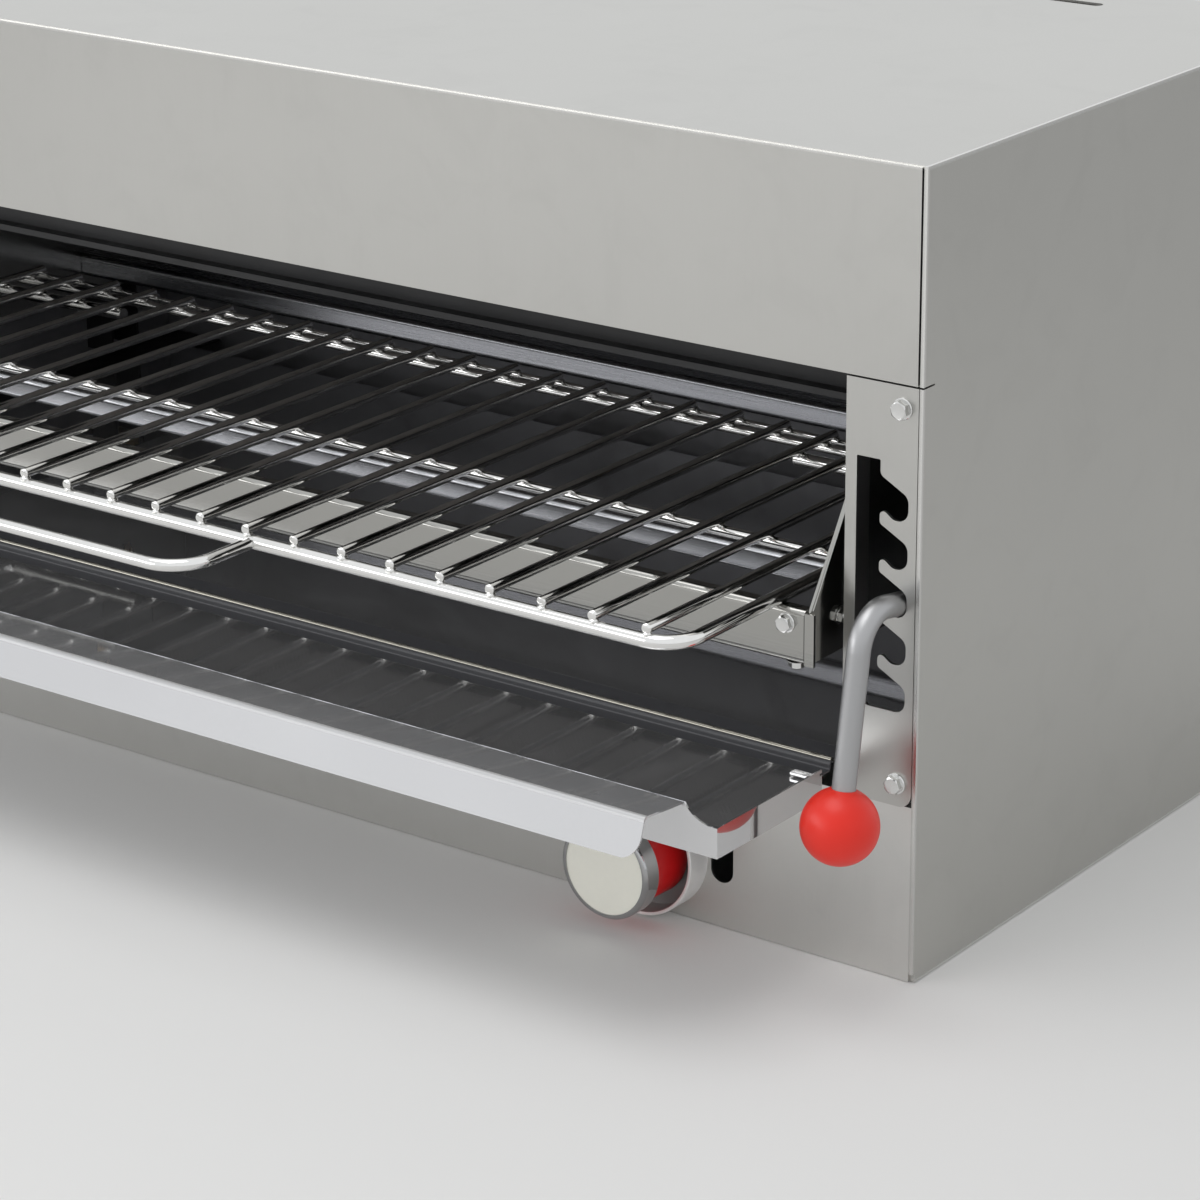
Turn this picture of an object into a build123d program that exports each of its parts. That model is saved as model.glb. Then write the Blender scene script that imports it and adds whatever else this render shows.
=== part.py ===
"""Countertop salamander grill: gas broiler cabinet with a notched, liftable rack and a pull-out drip pan.

Frame: origin at the centre of the base, +X to the right seen from the front, +Y to the back, +Z up.
Depths named *_depth or *_back are measured back from the front plane, negative ones stand in front of it.
"""

import os

from math import cos, radians, sin, tan

from build123d import *

# Cabinet
width = 914.4
depth = 440.0
height = 445.0
side_wall = 2.2
sheet = 1.5
liner_sheet = 1.2
panel_gap = 0.4
front_gap = 1.2
seam_gap = 1.0
side_lift = 5.7
upright_width = 43.8
opening_top = 331.2
shelf_line = 100.4
hood_return = 16.0
slit_length = 10.7
overrun = 5.0

# Top vents and their slots
vent_count = 9
vent_length = 52.0
vent_width = 8.0
vent_pitch = 76.0
vent_inset = 45.0

# Liners and posts
side_liner_gap = 1.5
side_liner_front = 45.0
back_liner_inset = 19.0
liner_drop = 25.0
post_flange = 38.0
post_window_margin = 2.5
post_window_low = 150.0
post_window_high = 302.0

# Notched plate that holds the rack handle
plate = 2.0
plate_return = 20.0
plate_corner = 8.0
plate_inner_corner = 1.0
notch_count = 5
notch_pitch = 26.2
notch_low = 153.0
rest_notch = 2
notch_margin = 5.4
channel_inset = 6.8
channel_width = 14.4
channel_top = 289.0
tooth_rise = 23.1
tooth_shoulder = 13.7
tooth_tip = 6.0
root_margin = 9.0
shoulder_radius = 6.0
pocket_radius = 6.2
root_radius = 5.0
tip_radius = 2.4
neck_radius = 4.0
channel_radius = 0.8
foot_inset = 8.0
foot_rise = 12.0

# Hexagon bolts
bolt_across = 10.0
bolt_head = 4.4
bolt_shank = 6.0
bolt_length = 9.0
washer_radius = 6.6
washer = 1.2
bolt_clearance = 0.2
plate_bolt_margin = 9.8
plate_bolt_drop = 12.9
plate_bolt_rise = 12.7

# Control panel
lighting_slot_offset = 46.5
lighting_slot_width = 14.7
lighting_slot_length = 34.0
lighting_slot_low = 26.6
panel_return = 14.0

# Gas knob, valve and pipes
knob_margin = 168.2
knob_z = 38.4
bezel_radius = 36.8
bezel_front = 14.0
bezel_wall = 2.2
bezel_shoulder = 24.0
skirt_radius = 27.0
skirt_back = 2.4
skirt_front = 32.7
skirt_flutes = 24
flute_radius = 0.9
cap_radius = 28.9
cap_front = 44.0
cap_edge = 2.2
face_radius = 25.8
face_sink = 0.6
stem_radius = 4.0
stem_clearance = 0.05
stem_hole_clearance = 2.0
stem_back = 34.0
stem_front = 36.0
valve_width = 34.0
valve_height = 30.0
valve_front = 6.0
valve_back = 76.0
valve_nut_radius = 11.0
gas_pipe_radius = 10.65
gas_pipe_wall = 2.8
inlet_radius = 13.35
inlet_bore = 10.0
inlet_stub = 28.0
inlet_hex = 36.0
inlet_hex_thickness = 6.0
inlet_neck_radius = 12.0
inlet_neck = 26.0
pipe_hole_clearance = 0.3
feed_radius = 5.0
feed_bend = 18.0
feed_offset = 42.0
feed_inset = 33.0
feed_headroom = 73.0
feed_drop_inset = 42.0

# Burner
burner_end_gap = 10.0
burner_front = 46.0
burner_inset = 48.0
burner_low = 303.0
burner_height = 26.0
burner_rim = 8.0
burner_rim_thickness = 3.6
tile_count_x = 8
tile_count_y = 2
tile_gap = 6.0
tile_margin = 12.0
tile_thickness = 13.0
hanger_width = 30.0
hanger_inset = 60.0

# Rack carriage
rail_end_gap = 9.2
rail_top = 207.0
rail_sheet = 1.5
front_rail_back = -23.5
front_rail_height = 30.3
front_rail_top_lip = 7.5
front_rail_low_lip = 13.0
mid_rail_back = 45.5
mid_rail_height = 15.0
mid_rail_lip = 16.0
rear_rail_inset = 67.0
rear_rail_height = 15.5
rear_rail_lip = 16.0
rail_bend = 3.0
cheek_gap = 0.4
cheek_sheet = 1.6
cheek_flange = 5.8
cheek_edge = 2.6
cheek_step_back = -19.8
cheek_step_drop = 1.2
cheek_top_back = 34.0
cheek_top = 290.0
cheek_waist = 246.0
cheek_shoulder_back = 80.0
cheek_waist_front = 120.0
cheek_waist_inset = 32.0
cheek_shoulder_inset = 18.0
cheek_tail = 25.0
rail_bolt_margin = 10.8
rail_bolt_drop = 8.3
cheek_nut_back = 8.0
cheek_nut_z = 196.3
cheek_nut_across = 8.0
cheek_nut_height = 5.0
stop_nut_margin = 8.0
stop_nut_back = -17.5
stop_nut_height = 5.0
stop_nut_across = 8.0

# Guide tracks and shoes
track_sheet = 1.5
track_inset = 90.0
track_depth = 24.0
track_low = 119.0
track_high = 352.0
shoe_width = 24.0
shoe_height = 26.0
shoe_clearance = 0.3
shoe_pin_radius = 5.0
shoe_low_z = 192.0
shoe_high_z = 270.0
shoe_corner = 3.0

# Handle
rod_radius = 6.35
rod_side_clearance = 0.25
rod_seat_clearance = 0.25
handle_tilt = 9.5
handle_reach = 31.2
handle_leg = 113.4
handle_bend = 21.0
rod_inner = 34.0
strip_thickness = 2.5
strip_height = 22.0
strip_front = 12.0
strip_inset = 72.0
bracket_sheet = 3.0
bracket_inset = 110.0
bracket_foot = 36.0
ball_radius = 20.9
ball_bore_rest = 4.0
ball_bore_clearance = 0.1

# Grid
wire_radius = 2.9
wire_count = 23
wire_inset = 17.6
grid_front = -116.0
wire_back = 211.5
frame_front = -114.0
frame_rod_radius = 4.0
frame_end_gap = 17.0
frame_corner = 20.0
frame_tail_back = 177.0
frame_tail_corner = 11.0
frame_tail_length = 122.0
cross_rod_radius = 3.1
thin_rod_radius = 2.0
mid_rod_back = 46.0
rear_rod_back = 200.5
thin_rod_back = 211.5
rear_rod_inset = 1.0
rest_gap = 0.05
pull_half = 104.0
pull_front = -172.0
pull_radius = 3.5
pull_corner = 24.0

# Drip pan
pan_sheet = 1.2
pan_deck_top = 116.5
pan_deck_front = 2.0
pan_deck_inset = 55.0
pan_deck_gap = 7.2
pan_hem_radius = 1.8
trough_gap = 6.0
trough_floor = 112.0
trough_foot = 97.6
trough_front = -106.0
trough_back = -9.5
trough_step = -1.0
trough_side_top = 114.6
trough_bend = 3.0
trough_heel = 6.0
step_bend = 1.5
pan_crest = 124.2
lip_inset = 20.6
lip_fold_back = -140.0
lip_fold_top = 127.4
lip_foot_back = -147.0
lip_foot_low = 105.7
lip_corner = 12.0
lip_bend = 2.5
crest_dip = 5.0
tab_length = 12.0
tab_front = -22.0
tab_back = -17.0

# Pan runners
runner_overlap = 7.0
runner_sheet = 1.5
runner_front = 26.0
runner_inset = 25.0
runner_drop = 22.0

os.makedirs("parts", exist_ok=True)

front = -depth / 2
back = depth / 2
inner_half = width / 2 - side_wall
liner_half = inner_half - side_liner_gap
liner_top = height - liner_drop
opening_half = inner_half - upright_width
vent_back = depth - vent_inset
back_liner_back = depth - back_liner_inset
notch_right = inner_half - notch_margin
channel_left = opening_half + channel_inset
channel_right = channel_left + channel_width
tooth_root = notch_right - root_margin
plate_bolt_x = inner_half - plate_bolt_margin
plate_bolt_high = opening_top - plate_bolt_drop
plate_bolt_low = shelf_line + plate_bolt_rise
knob_x = inner_half - knob_margin
lighting_slot_x = knob_x + lighting_slot_offset
burner_back = depth - burner_inset
feed_x = knob_x - feed_offset
feed_back = depth - feed_inset
feed_rise = height - feed_headroom
feed_drop_back = burner_back - feed_drop_inset
rail_half = opening_half - rail_end_gap
rail_bolt_x = rail_half - rail_bolt_margin
stop_nut_x = rail_half - stop_nut_margin
burner_half = rail_half - burner_end_gap
track_back = depth - track_inset
rear_rail_back = track_back - rear_rail_inset
cheek_waist_back = track_back - cheek_waist_inset
cheek_rear_shoulder = track_back - cheek_shoulder_inset
cheek_rear = track_back + cheek_tail
strip_back = track_back - strip_inset
bracket_back = track_back - bracket_inset
rod_x = notch_right - rod_radius - rod_side_clearance
frame_half = rail_half - frame_end_gap
frame_tail_x = frame_half - frame_tail_length
rear_rod_half = frame_half - rear_rod_inset
wire_pitch = 2 * (frame_half - wire_inset) / (wire_count - 1)
pan_deck_back = depth - pan_deck_inset
pan_deck_half = opening_half - pan_deck_gap
trough_half = opening_half - trough_gap
lip_half = trough_half - lip_inset
runner_half = pan_deck_half - runner_overlap
runner_back = depth - runner_inset
cheek_inner = rail_half + cheek_gap
cheek_outer = cheek_inner + cheek_sheet
tilt = radians(handle_tilt)
rod_seat = notch_low + rest_notch * notch_pitch + plate * tan(tilt)
rod_z = rod_seat + rod_radius / cos(tilt) + rod_seat_clearance
wire_z = rail_top + rest_gap + 2 * frame_rod_radius + wire_radius + rest_gap


def across(y):
    """Sketch plane facing the front at depth y: local x is +X, local y is +Z, back is negative."""
    return Plane.XZ.offset(-y)


def front_seat(x, y, z):
    """Plane at one point of a front face, facing out of the cabinet."""
    return Plane((x, y, z), x_dir=(1, 0, 0), z_dir=(0, -1, 0))


def slab(x, y, z, mode=Mode.ADD):
    """Adds a block between low and high x, y and z to the part being built."""
    with Locations(((x[0] + x[1]) / 2, (y[0] + y[1]) / 2, (z[0] + z[1]) / 2)):
        Box(x[1] - x[0], y[1] - y[0], z[1] - z[0], mode=mode)


def hex_bolt(seat, length):
    """Adds a washer, a hexagon head and a plain shank on a seat plane whose normal points outwards."""
    with BuildSketch(seat) as ring:
        Circle(washer_radius)
    extrude(ring.sketch, amount=washer)
    with BuildSketch(seat.offset(washer)) as head:
        RegularPolygon(bolt_across / 2, 6, major_radius=False)
    extrude(head.sketch, amount=bolt_head)
    with BuildSketch(seat) as shank:
        Circle(bolt_shank / 2)
    extrude(shank.sketch, amount=-length)


def save(piece, name):
    """Labels a finished piece and writes it to its own file."""
    piece.part.label = name
    export_step(piece.part, f"parts/{name}.step")


def save_pair(piece, name):
    """Writes a right-hand piece and its mirror image on the left."""
    save(piece, f"{name}_right")
    with BuildPart() as left:
        mirror(piece.part, about=Plane.YZ)
    save(left, f"{name}_left")


# Side panel with the relief slit at the opening's top corner
with BuildPart() as side_panel:
    slab((inner_half, width / 2), (front, back), (side_lift, height))
    slab(
        (inner_half - overrun, width / 2 + overrun),
        (front - overrun, front + slit_length),
        (opening_top - seam_gap, opening_top),
        mode=Mode.SUBTRACT,
    )
save_pair(side_panel, "side_panel")

# Base pan, top panel with flue slots, back panel with the pipe hole
with BuildPart() as base_panel:
    slab((-width / 2, width / 2), (front + plate + sheet, back), (0, side_lift))
    slab(
        (-inner_half + sheet, inner_half - sheet),
        (front + plate + 2 * sheet, back - sheet),
        (sheet, side_lift + overrun),
        mode=Mode.SUBTRACT,
    )
save(base_panel, "base_panel")

with BuildPart() as top_panel:
    slab((-inner_half, inner_half), (front + sheet, back - sheet), (height - sheet, height))
    with BuildSketch(Plane.XY.offset(height)):
        with Locations((0, front + vent_back)):
            with GridLocations(vent_pitch, vent_width, vent_count, 1):
                SlotOverall(vent_length, vent_width)
    extrude(amount=-sheet, mode=Mode.SUBTRACT)
save(top_panel, "top_panel")

with BuildPart() as back_panel:
    slab((-inner_half, inner_half), (back - sheet, back), (side_lift, height))
    with BuildSketch(across(back)):
        with Locations((knob_x, knob_z)):
            Circle(inlet_neck_radius + pipe_hole_clearance)
    extrude(amount=sheet, mode=Mode.SUBTRACT)
save(back_panel, "back_panel")

# Upper front panel with its return under the hood
with BuildPart() as upper_front:
    with BuildSketch(Plane.YZ.offset(-inner_half + front_gap)):
        with BuildLine():
            Polyline(
                (front + sheet / 2, height - sheet / 2),
                (front + sheet / 2, opening_top + sheet / 2),
                (front + hood_return, opening_top + sheet / 2),
            )
        trace(line_width=sheet)
    extrude(amount=2 * (inner_half - front_gap))
save(upper_front, "upper_front_panel")

# Control panel with the valve hole and the lighting slot
with BuildPart() as control_panel:
    with BuildSketch(Plane.YZ.offset(-inner_half + front_gap)):
        with BuildLine():
            Polyline(
                (front + plate + sheet / 2, 0),
                (front + plate + sheet / 2, shelf_line - sheet / 2),
                (front + plate + panel_return, shelf_line - sheet / 2),
            )
        trace(line_width=sheet)
    extrude(amount=2 * (inner_half - front_gap))
    slab((-width / 2, width / 2), (front, back), (-overrun, 0), mode=Mode.SUBTRACT)
    with BuildSketch(across(front + plate)):
        with Locations((knob_x, knob_z)):
            Circle(stem_radius + stem_hole_clearance)
        with Locations((lighting_slot_x, lighting_slot_low + lighting_slot_length / 2)):
            SlotOverall(lighting_slot_length, lighting_slot_width, rotation=90)
    extrude(amount=-sheet, mode=Mode.SUBTRACT)
save(control_panel, "control_panel")

# Liners of the broiling space
with BuildPart() as side_liner:
    slab(
        (liner_half - liner_sheet, liner_half),
        (front + side_liner_front, front + back_liner_back),
        (sheet, liner_top),
    )
save_pair(side_liner, "side_liner")

with BuildPart() as back_liner:
    slab(
        (-liner_half, liner_half),
        (front + back_liner_back, front + back_liner_back + liner_sheet),
        (sheet, liner_top),
    )
    with BuildSketch(across(front + back_liner_back)):
        with Locations((knob_x, knob_z)):
            Circle(inlet_neck_radius + pipe_hole_clearance)
    extrude(amount=-liner_sheet, mode=Mode.SUBTRACT)
save(back_liner, "back_liner")

# Corner posts behind the upright plates
plate_low = shelf_line
plate_high = opening_top - seam_gap
bolt_places = [(plate_bolt_x, plate_bolt_high), (plate_bolt_x, plate_bolt_low)]
with BuildPart() as corner_post:
    with BuildSketch(Plane.XY.offset(plate_low)):
        with BuildLine():
            Polyline(
                (opening_half + plate + panel_gap, front + plate + sheet / 2),
                (inner_half - sheet / 2, front + plate + sheet / 2),
                (inner_half - sheet / 2, front + post_flange),
            )
        trace(line_width=sheet)
    extrude(amount=plate_high - plate_low)
    slab(
        (opening_half, inner_half + overrun),
        (front + plate, front + plate + sheet),
        (post_window_low, post_window_high),
        mode=Mode.SUBTRACT,
    )
    with BuildSketch(across(front + plate)):
        with Locations(*bolt_places):
            Circle(bolt_shank / 2 + bolt_clearance)
    extrude(amount=-sheet, mode=Mode.SUBTRACT)
save_pair(corner_post, "corner_post")


def upright_plate():
    """Adds the upright face plate with its inner return and bolt holes."""
    with BuildSketch(across(front)) as outline:
        with BuildLine():
            FilletPolyline(
                (opening_half, plate_high),
                (opening_half, plate_low),
                (inner_half - panel_gap, plate_low),
                (inner_half - panel_gap, plate_high),
                radius=[plate_inner_corner, plate_corner],
            )
            Line((inner_half - panel_gap, plate_high), (opening_half, plate_high))
        make_face()
        with Locations(*bolt_places):
            Circle(bolt_shank / 2 + bolt_clearance, mode=Mode.SUBTRACT)
    extrude(outline.sketch, amount=-plate)
    slab(
        (opening_half, opening_half + plate),
        (front + plate, front + plate_return),
        (plate_low, plate_high),
    )


with BuildPart() as notch_plate:
    upright_plate()
    teeth = [(channel_left, channel_top), (channel_right, channel_top)]
    radii = [channel_radius, channel_radius]
    for step in reversed(range(notch_count)):
        low = notch_low + step * notch_pitch
        teeth += [
            (channel_right, low + tooth_rise),
            (notch_right, low + tooth_shoulder),
            (notch_right, low),
        ]
        radii += [neck_radius if step == notch_count - 1 else tip_radius]
        radii += [shoulder_radius, pocket_radius]
        if step > 0:
            teeth += [(tooth_root, low), (channel_right, low + tooth_tip)]
            radii += [root_radius, tip_radius]
    teeth += [(channel_left + foot_inset, notch_low), (channel_left, notch_low + foot_rise)]
    radii += [tip_radius, tip_radius]
    with BuildSketch(across(front)):
        with BuildLine():
            FilletPolyline(*teeth, radius=radii, close=True)
        make_face()
    extrude(amount=-plate, mode=Mode.SUBTRACT)
save(notch_plate, "notch_plate")

with BuildPart() as plain_blank:
    upright_plate()
with BuildPart() as plain_plate:
    mirror(plain_blank.part, about=Plane.YZ)
save(plain_plate, "plain_plate")

with BuildPart() as plate_bolts:
    for bolt_x, bolt_z in bolt_places:
        for hand in (1, -1):
            hex_bolt(front_seat(hand * bolt_x, front, bolt_z), bolt_length)
save(plate_bolts, "plate_bolts")

# Burner body, ceramic tiles and hangers
with BuildPart() as burner_body:
    slab(
        (-burner_half, burner_half),
        (front + burner_front, front + burner_back),
        (burner_low, burner_low + burner_height),
    )
    bottom = burner_body.faces().sort_by(Axis.Z)[0]
    offset(amount=-sheet, openings=bottom)
    with BuildSketch(Plane.XY.offset(burner_low)):
        with Locations((0, front + (burner_front + burner_back) / 2)):
            Rectangle(2 * (burner_half + burner_rim), burner_back - burner_front + 2 * burner_rim)
            Rectangle(
                2 * (burner_half - sheet),
                burner_back - burner_front - 2 * sheet,
                mode=Mode.SUBTRACT,
            )
    extrude(amount=burner_rim_thickness)
save(burner_body, "burner_body")

tile_pitch_x = (2 * (burner_half - tile_margin) + tile_gap) / tile_count_x
tile_pitch_y = (burner_back - burner_front - 2 * tile_margin + tile_gap) / tile_count_y
tile_top = burner_low + burner_height - sheet
with BuildPart() as burner_tiles:
    with BuildSketch(Plane.XY.offset(tile_top)):
        with Locations((0, front + (burner_front + burner_back) / 2)):
            with GridLocations(tile_pitch_x, tile_pitch_y, tile_count_x, tile_count_y):
                Rectangle(tile_pitch_x - tile_gap, tile_pitch_y - tile_gap)
    extrude(amount=-tile_thickness)
save(burner_tiles, "burner_tiles")

hanger_x = burner_half - hanger_inset
hanger_spread = burner_back - burner_front - 2 * hanger_inset
with BuildPart() as burner_hangers:
    with BuildSketch(Plane.XY.offset(burner_low + burner_height)):
        with Locations((0, front + (burner_front + burner_back) / 2)):
            with GridLocations(2 * hanger_x, hanger_spread, 2, 2):
                Rectangle(hanger_width, sheet)
    extrude(amount=height - sheet - burner_low - burner_height)
save(burner_hangers, "burner_hangers")

# Gas valve, stem, supply pipe and feed tube
with BuildPart() as gas_valve:
    slab(
        (knob_x - valve_width / 2, knob_x + valve_width / 2),
        (front + plate + sheet + valve_front, front + valve_back),
        (knob_z - valve_height / 2, knob_z + valve_height / 2),
    )
    fillet(gas_valve.edges().filter_by(Axis.Y), valve_front)
    with BuildSketch(across(front + plate + sheet)):
        with Locations((knob_x, knob_z)):
            Circle(valve_nut_radius)
    extrude(amount=-valve_front)
    with BuildSketch(across(front + plate + sheet)):
        with Locations((knob_x, knob_z)):
            Circle(stem_radius + stem_clearance)
    extrude(amount=-(stem_back - plate - sheet), mode=Mode.SUBTRACT)
save(gas_valve, "gas_valve")

with BuildPart() as gas_pipe:
    with BuildSketch(across(front + valve_back)):
        with Locations((knob_x, knob_z)):
            Circle(gas_pipe_radius)
            Circle(gas_pipe_radius - gas_pipe_wall, mode=Mode.SUBTRACT)
    extrude(amount=-(depth - valve_back - inlet_neck))
save(gas_pipe, "gas_pipe")

with BuildPart() as gas_inlet:
    with BuildSketch(across(back - inlet_neck)):
        with Locations((knob_x, knob_z)):
            Circle(inlet_neck_radius)
    extrude(amount=-inlet_neck)
    with BuildSketch(across(back)):
        with Locations((knob_x, knob_z)):
            RegularPolygon(inlet_hex / 2, 6, major_radius=False)
    extrude(amount=-inlet_hex_thickness)
    with BuildSketch(across(back + inlet_hex_thickness)):
        with Locations((knob_x, knob_z)):
            Circle(inlet_radius)
    extrude(amount=-inlet_stub)
    with BuildSketch(across(back - inlet_neck)):
        with Locations((knob_x, knob_z)):
            Circle(inlet_bore)
    extrude(amount=-(inlet_neck + inlet_hex_thickness + inlet_stub), mode=Mode.SUBTRACT)
save(gas_inlet, "gas_inlet")

feed_start_x = knob_x - valve_width / 2
feed_start_y = front + (valve_front + valve_back) / 2
with BuildPart() as feed_tube:
    with BuildLine() as feed_path:
        FilletPolyline(
            (feed_start_x, feed_start_y, knob_z),
            (feed_x, feed_start_y, knob_z),
            (feed_x, front + feed_back, knob_z),
            (feed_x, front + feed_back, feed_rise),
            (feed_x, front + feed_drop_back, feed_rise),
            (feed_x, front + feed_drop_back, burner_low + burner_height),
            radius=feed_bend,
        )
    with BuildSketch(Plane(feed_path.line @ 0, z_dir=feed_path.line % 0)):
        Circle(feed_radius)
    sweep()
save(feed_tube, "feed_tube")

# Knob: fixed bezel, fluted skirt, cap, face disc and stem
with BuildPart() as knob_bezel:
    with BuildSketch(across(front + plate)):
        with Locations((knob_x, knob_z)):
            Circle(bezel_radius)
            Circle(bezel_shoulder, mode=Mode.SUBTRACT)
    extrude(amount=bezel_wall)
    with BuildSketch(across(front + plate)):
        with Locations((knob_x, knob_z)):
            Circle(bezel_radius)
            Circle(bezel_radius - bezel_wall, mode=Mode.SUBTRACT)
    extrude(amount=bezel_front + plate)
    fillet(knob_bezel.edges().filter_by(GeomType.CIRCLE).group_by(Axis.Y)[0], bezel_wall / 3)
save(knob_bezel, "knob_bezel")

with BuildPart() as knob_skirt:
    with BuildSketch(across(front - skirt_back)):
        with Locations((knob_x, knob_z)):
            Circle(skirt_radius)
            with PolarLocations(skirt_radius, skirt_flutes):
                Circle(flute_radius, mode=Mode.SUBTRACT)
            Circle(stem_radius, mode=Mode.SUBTRACT)
    extrude(amount=skirt_front - skirt_back)
save(knob_skirt, "knob_skirt")

with BuildPart() as knob_cap:
    with BuildSketch(across(front - skirt_front)):
        with Locations((knob_x, knob_z)):
            Circle(cap_radius)
    extrude(amount=cap_front - skirt_front)
    fillet(knob_cap.edges().group_by(Axis.Y)[0], cap_edge)
    with BuildSketch(across(front - cap_front)):
        with Locations((knob_x, knob_z)):
            Circle(face_radius)
    extrude(amount=-face_sink - plate, mode=Mode.SUBTRACT)
    with BuildSketch(across(front - skirt_front)):
        with Locations((knob_x, knob_z)):
            Circle(stem_radius)
    extrude(amount=stem_front - skirt_front, mode=Mode.SUBTRACT)
save(knob_cap, "knob_cap")

with BuildPart() as knob_face:
    with BuildSketch(across(front - cap_front + face_sink + plate)):
        with Locations((knob_x, knob_z)):
            Circle(face_radius)
    extrude(amount=plate)
save(knob_face, "knob_face")

with BuildPart() as valve_stem:
    with BuildSketch(across(front + stem_back)):
        with Locations((knob_x, knob_z)):
            Circle(stem_radius)
    extrude(amount=stem_back + stem_front)
save(valve_stem, "valve_stem")

# Drip pan: deck, trough, side walls and grip lip in one sheet
with BuildPart() as drip_pan:
    deck_z = pan_deck_top - pan_sheet / 2
    floor_z = trough_floor - pan_sheet / 2
    wall_y = front + trough_front + pan_sheet / 2
    heel_y = front + trough_step - pan_sheet / 2
    with BuildSketch(Plane.YZ.offset(-pan_deck_half)):
        with BuildLine():
            Line((front + pan_deck_front, deck_z), (front + pan_deck_back, deck_z))
        trace(line_width=pan_sheet)
        with Locations((front + pan_deck_front, deck_z)):
            Circle(pan_hem_radius)
    extrude(amount=2 * pan_deck_half)
    with BuildSketch(Plane.YZ.offset(-trough_half)):
        with BuildLine():
            FilletPolyline(
                (wall_y, pan_crest),
                (wall_y, floor_z),
                (heel_y, floor_z),
                (heel_y, deck_z),
                (front + pan_deck_front, deck_z),
                radius=[trough_bend, step_bend, step_bend],
            )
        trace(line_width=pan_sheet)
        with BuildLine():
            Line((wall_y, pan_crest), (wall_y, trough_foot))
        trace(line_width=pan_sheet)
    extrude(amount=2 * trough_half)
    for hand in (1, -1):
        with BuildSketch(Plane.YZ.offset(hand * (trough_half - pan_sheet / 2))):
            with BuildLine():
                FilletPolyline(
                    (front + trough_front, trough_side_top),
                    (front + trough_front, trough_foot),
                    (front + trough_back, trough_foot),
                    (front + trough_back, trough_side_top),
                    radius=[trough_bend, trough_heel],
                )
                Line((front + trough_back, trough_side_top), (front + trough_front, trough_side_top))
            make_face()
        extrude(amount=pan_sheet / 2, both=True)
        with BuildSketch(across(front + trough_front - overrun)):
            with BuildLine():
                corner = (hand * trough_half, trough_side_top)
                shoulder = (hand * lip_half, pan_crest)
                middle = (
                    hand * ((lip_half + trough_half) / 2 - crest_dip / 2),
                    (trough_side_top + pan_crest) / 2 - crest_dip / 2,
                )
                ThreePointArc(shoulder, middle, corner)
                Polyline(corner, (corner[0] + hand * overrun, corner[1]))
                Polyline(
                    (corner[0] + hand * overrun, corner[1]),
                    (corner[0] + hand * overrun, pan_crest + overrun),
                    (shoulder[0], pan_crest + overrun),
                    shoulder,
                )
            make_face()
        extrude(amount=-(2 * overrun + pan_sheet), mode=Mode.SUBTRACT)
        slab(
            sorted((hand * (trough_half - tab_length), hand * trough_half)),
            (front + tab_front, front + tab_back),
            (trough_side_top - pan_sheet, trough_side_top),
        )
    with BuildSketch(Plane.YZ.offset(-lip_half)):
        with BuildLine():
            FilletPolyline(
                (wall_y, pan_crest - lip_corner / 2),
                (wall_y, pan_crest),
                (front + lip_fold_back, lip_fold_top),
                (front + lip_foot_back, lip_foot_low),
                radius=[lip_bend, lip_bend],
            )
        trace(line_width=pan_sheet)
    extrude(amount=2 * lip_half)
    for hand in (1, -1):
        with BuildSketch(across(front + lip_foot_back - overrun)):
            with Locations((hand * (lip_half - lip_corner / 2), lip_foot_low + lip_corner / 2)):
                Rectangle(lip_corner + overrun, lip_corner + overrun)
            with Locations((hand * (lip_half - lip_corner), lip_foot_low + lip_corner)):
                Circle(lip_corner, mode=Mode.SUBTRACT)
            with Locations((hand * (lip_half - lip_corner - overrun), lip_foot_low)):
                Rectangle(2 * overrun, 2 * (lip_corner + overrun), mode=Mode.SUBTRACT)
            with Locations((hand * lip_half, lip_foot_low + lip_corner + overrun)):
                Rectangle(2 * (lip_corner + overrun), 2 * overrun, mode=Mode.SUBTRACT)
        extrude(amount=-(overrun + lip_corner), mode=Mode.SUBTRACT)
save(drip_pan, "drip_pan")

with BuildPart() as pan_runner:
    with BuildSketch(across(front + runner_front)):
        runner_top = pan_deck_top - pan_sheet
        with BuildLine():
            Polyline(
                (runner_half, runner_top - runner_sheet / 2),
                (liner_half - liner_sheet - runner_sheet / 2, runner_top - runner_sheet / 2),
                (liner_half - liner_sheet - runner_sheet / 2, runner_top - runner_drop),
            )
        trace(line_width=runner_sheet)
    extrude(amount=-(runner_back - runner_front))
save_pair(pan_runner, "pan_runner")


def rail(y, tall, top_lip, low_lip):
    """Adds a channel rail across the rack: face at depth y, with lips turned back at the top and foot."""
    face = front + y + rail_sheet / 2
    top = rail_top - rail_sheet / 2
    foot = rail_top - tall + rail_sheet / 2
    with BuildSketch(Plane.YZ.offset(-rail_half)) as channel:
        with BuildLine():
            FilletPolyline(
                (front + y + top_lip, top),
                (face, top),
                (face, foot),
                (front + y + low_lip, foot),
                radius=rail_bend,
            )
        trace(line_width=rail_sheet)
    extrude(channel.sketch, amount=2 * rail_half)


# Rack rails
with BuildPart() as front_rail:
    rail(front_rail_back, front_rail_height, front_rail_top_lip, front_rail_low_lip)
    with BuildSketch(across(front + front_rail_back)):
        with GridLocations(2 * rail_bolt_x, 0, 2, 1):
            with Locations((0, rail_top - rail_bolt_drop)):
                Circle(bolt_shank / 2 + bolt_clearance)
    extrude(amount=-rail_sheet, mode=Mode.SUBTRACT)
save(front_rail, "front_rail")

with BuildPart() as mid_rail:
    rail(mid_rail_back, mid_rail_height, mid_rail_lip, mid_rail_lip / 2)
save(mid_rail, "mid_rail")

with BuildPart() as rear_rail:
    rail(rear_rail_back, rear_rail_height, rear_rail_lip, rear_rail_lip / 2)
save(rear_rail, "rear_rail")

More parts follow.
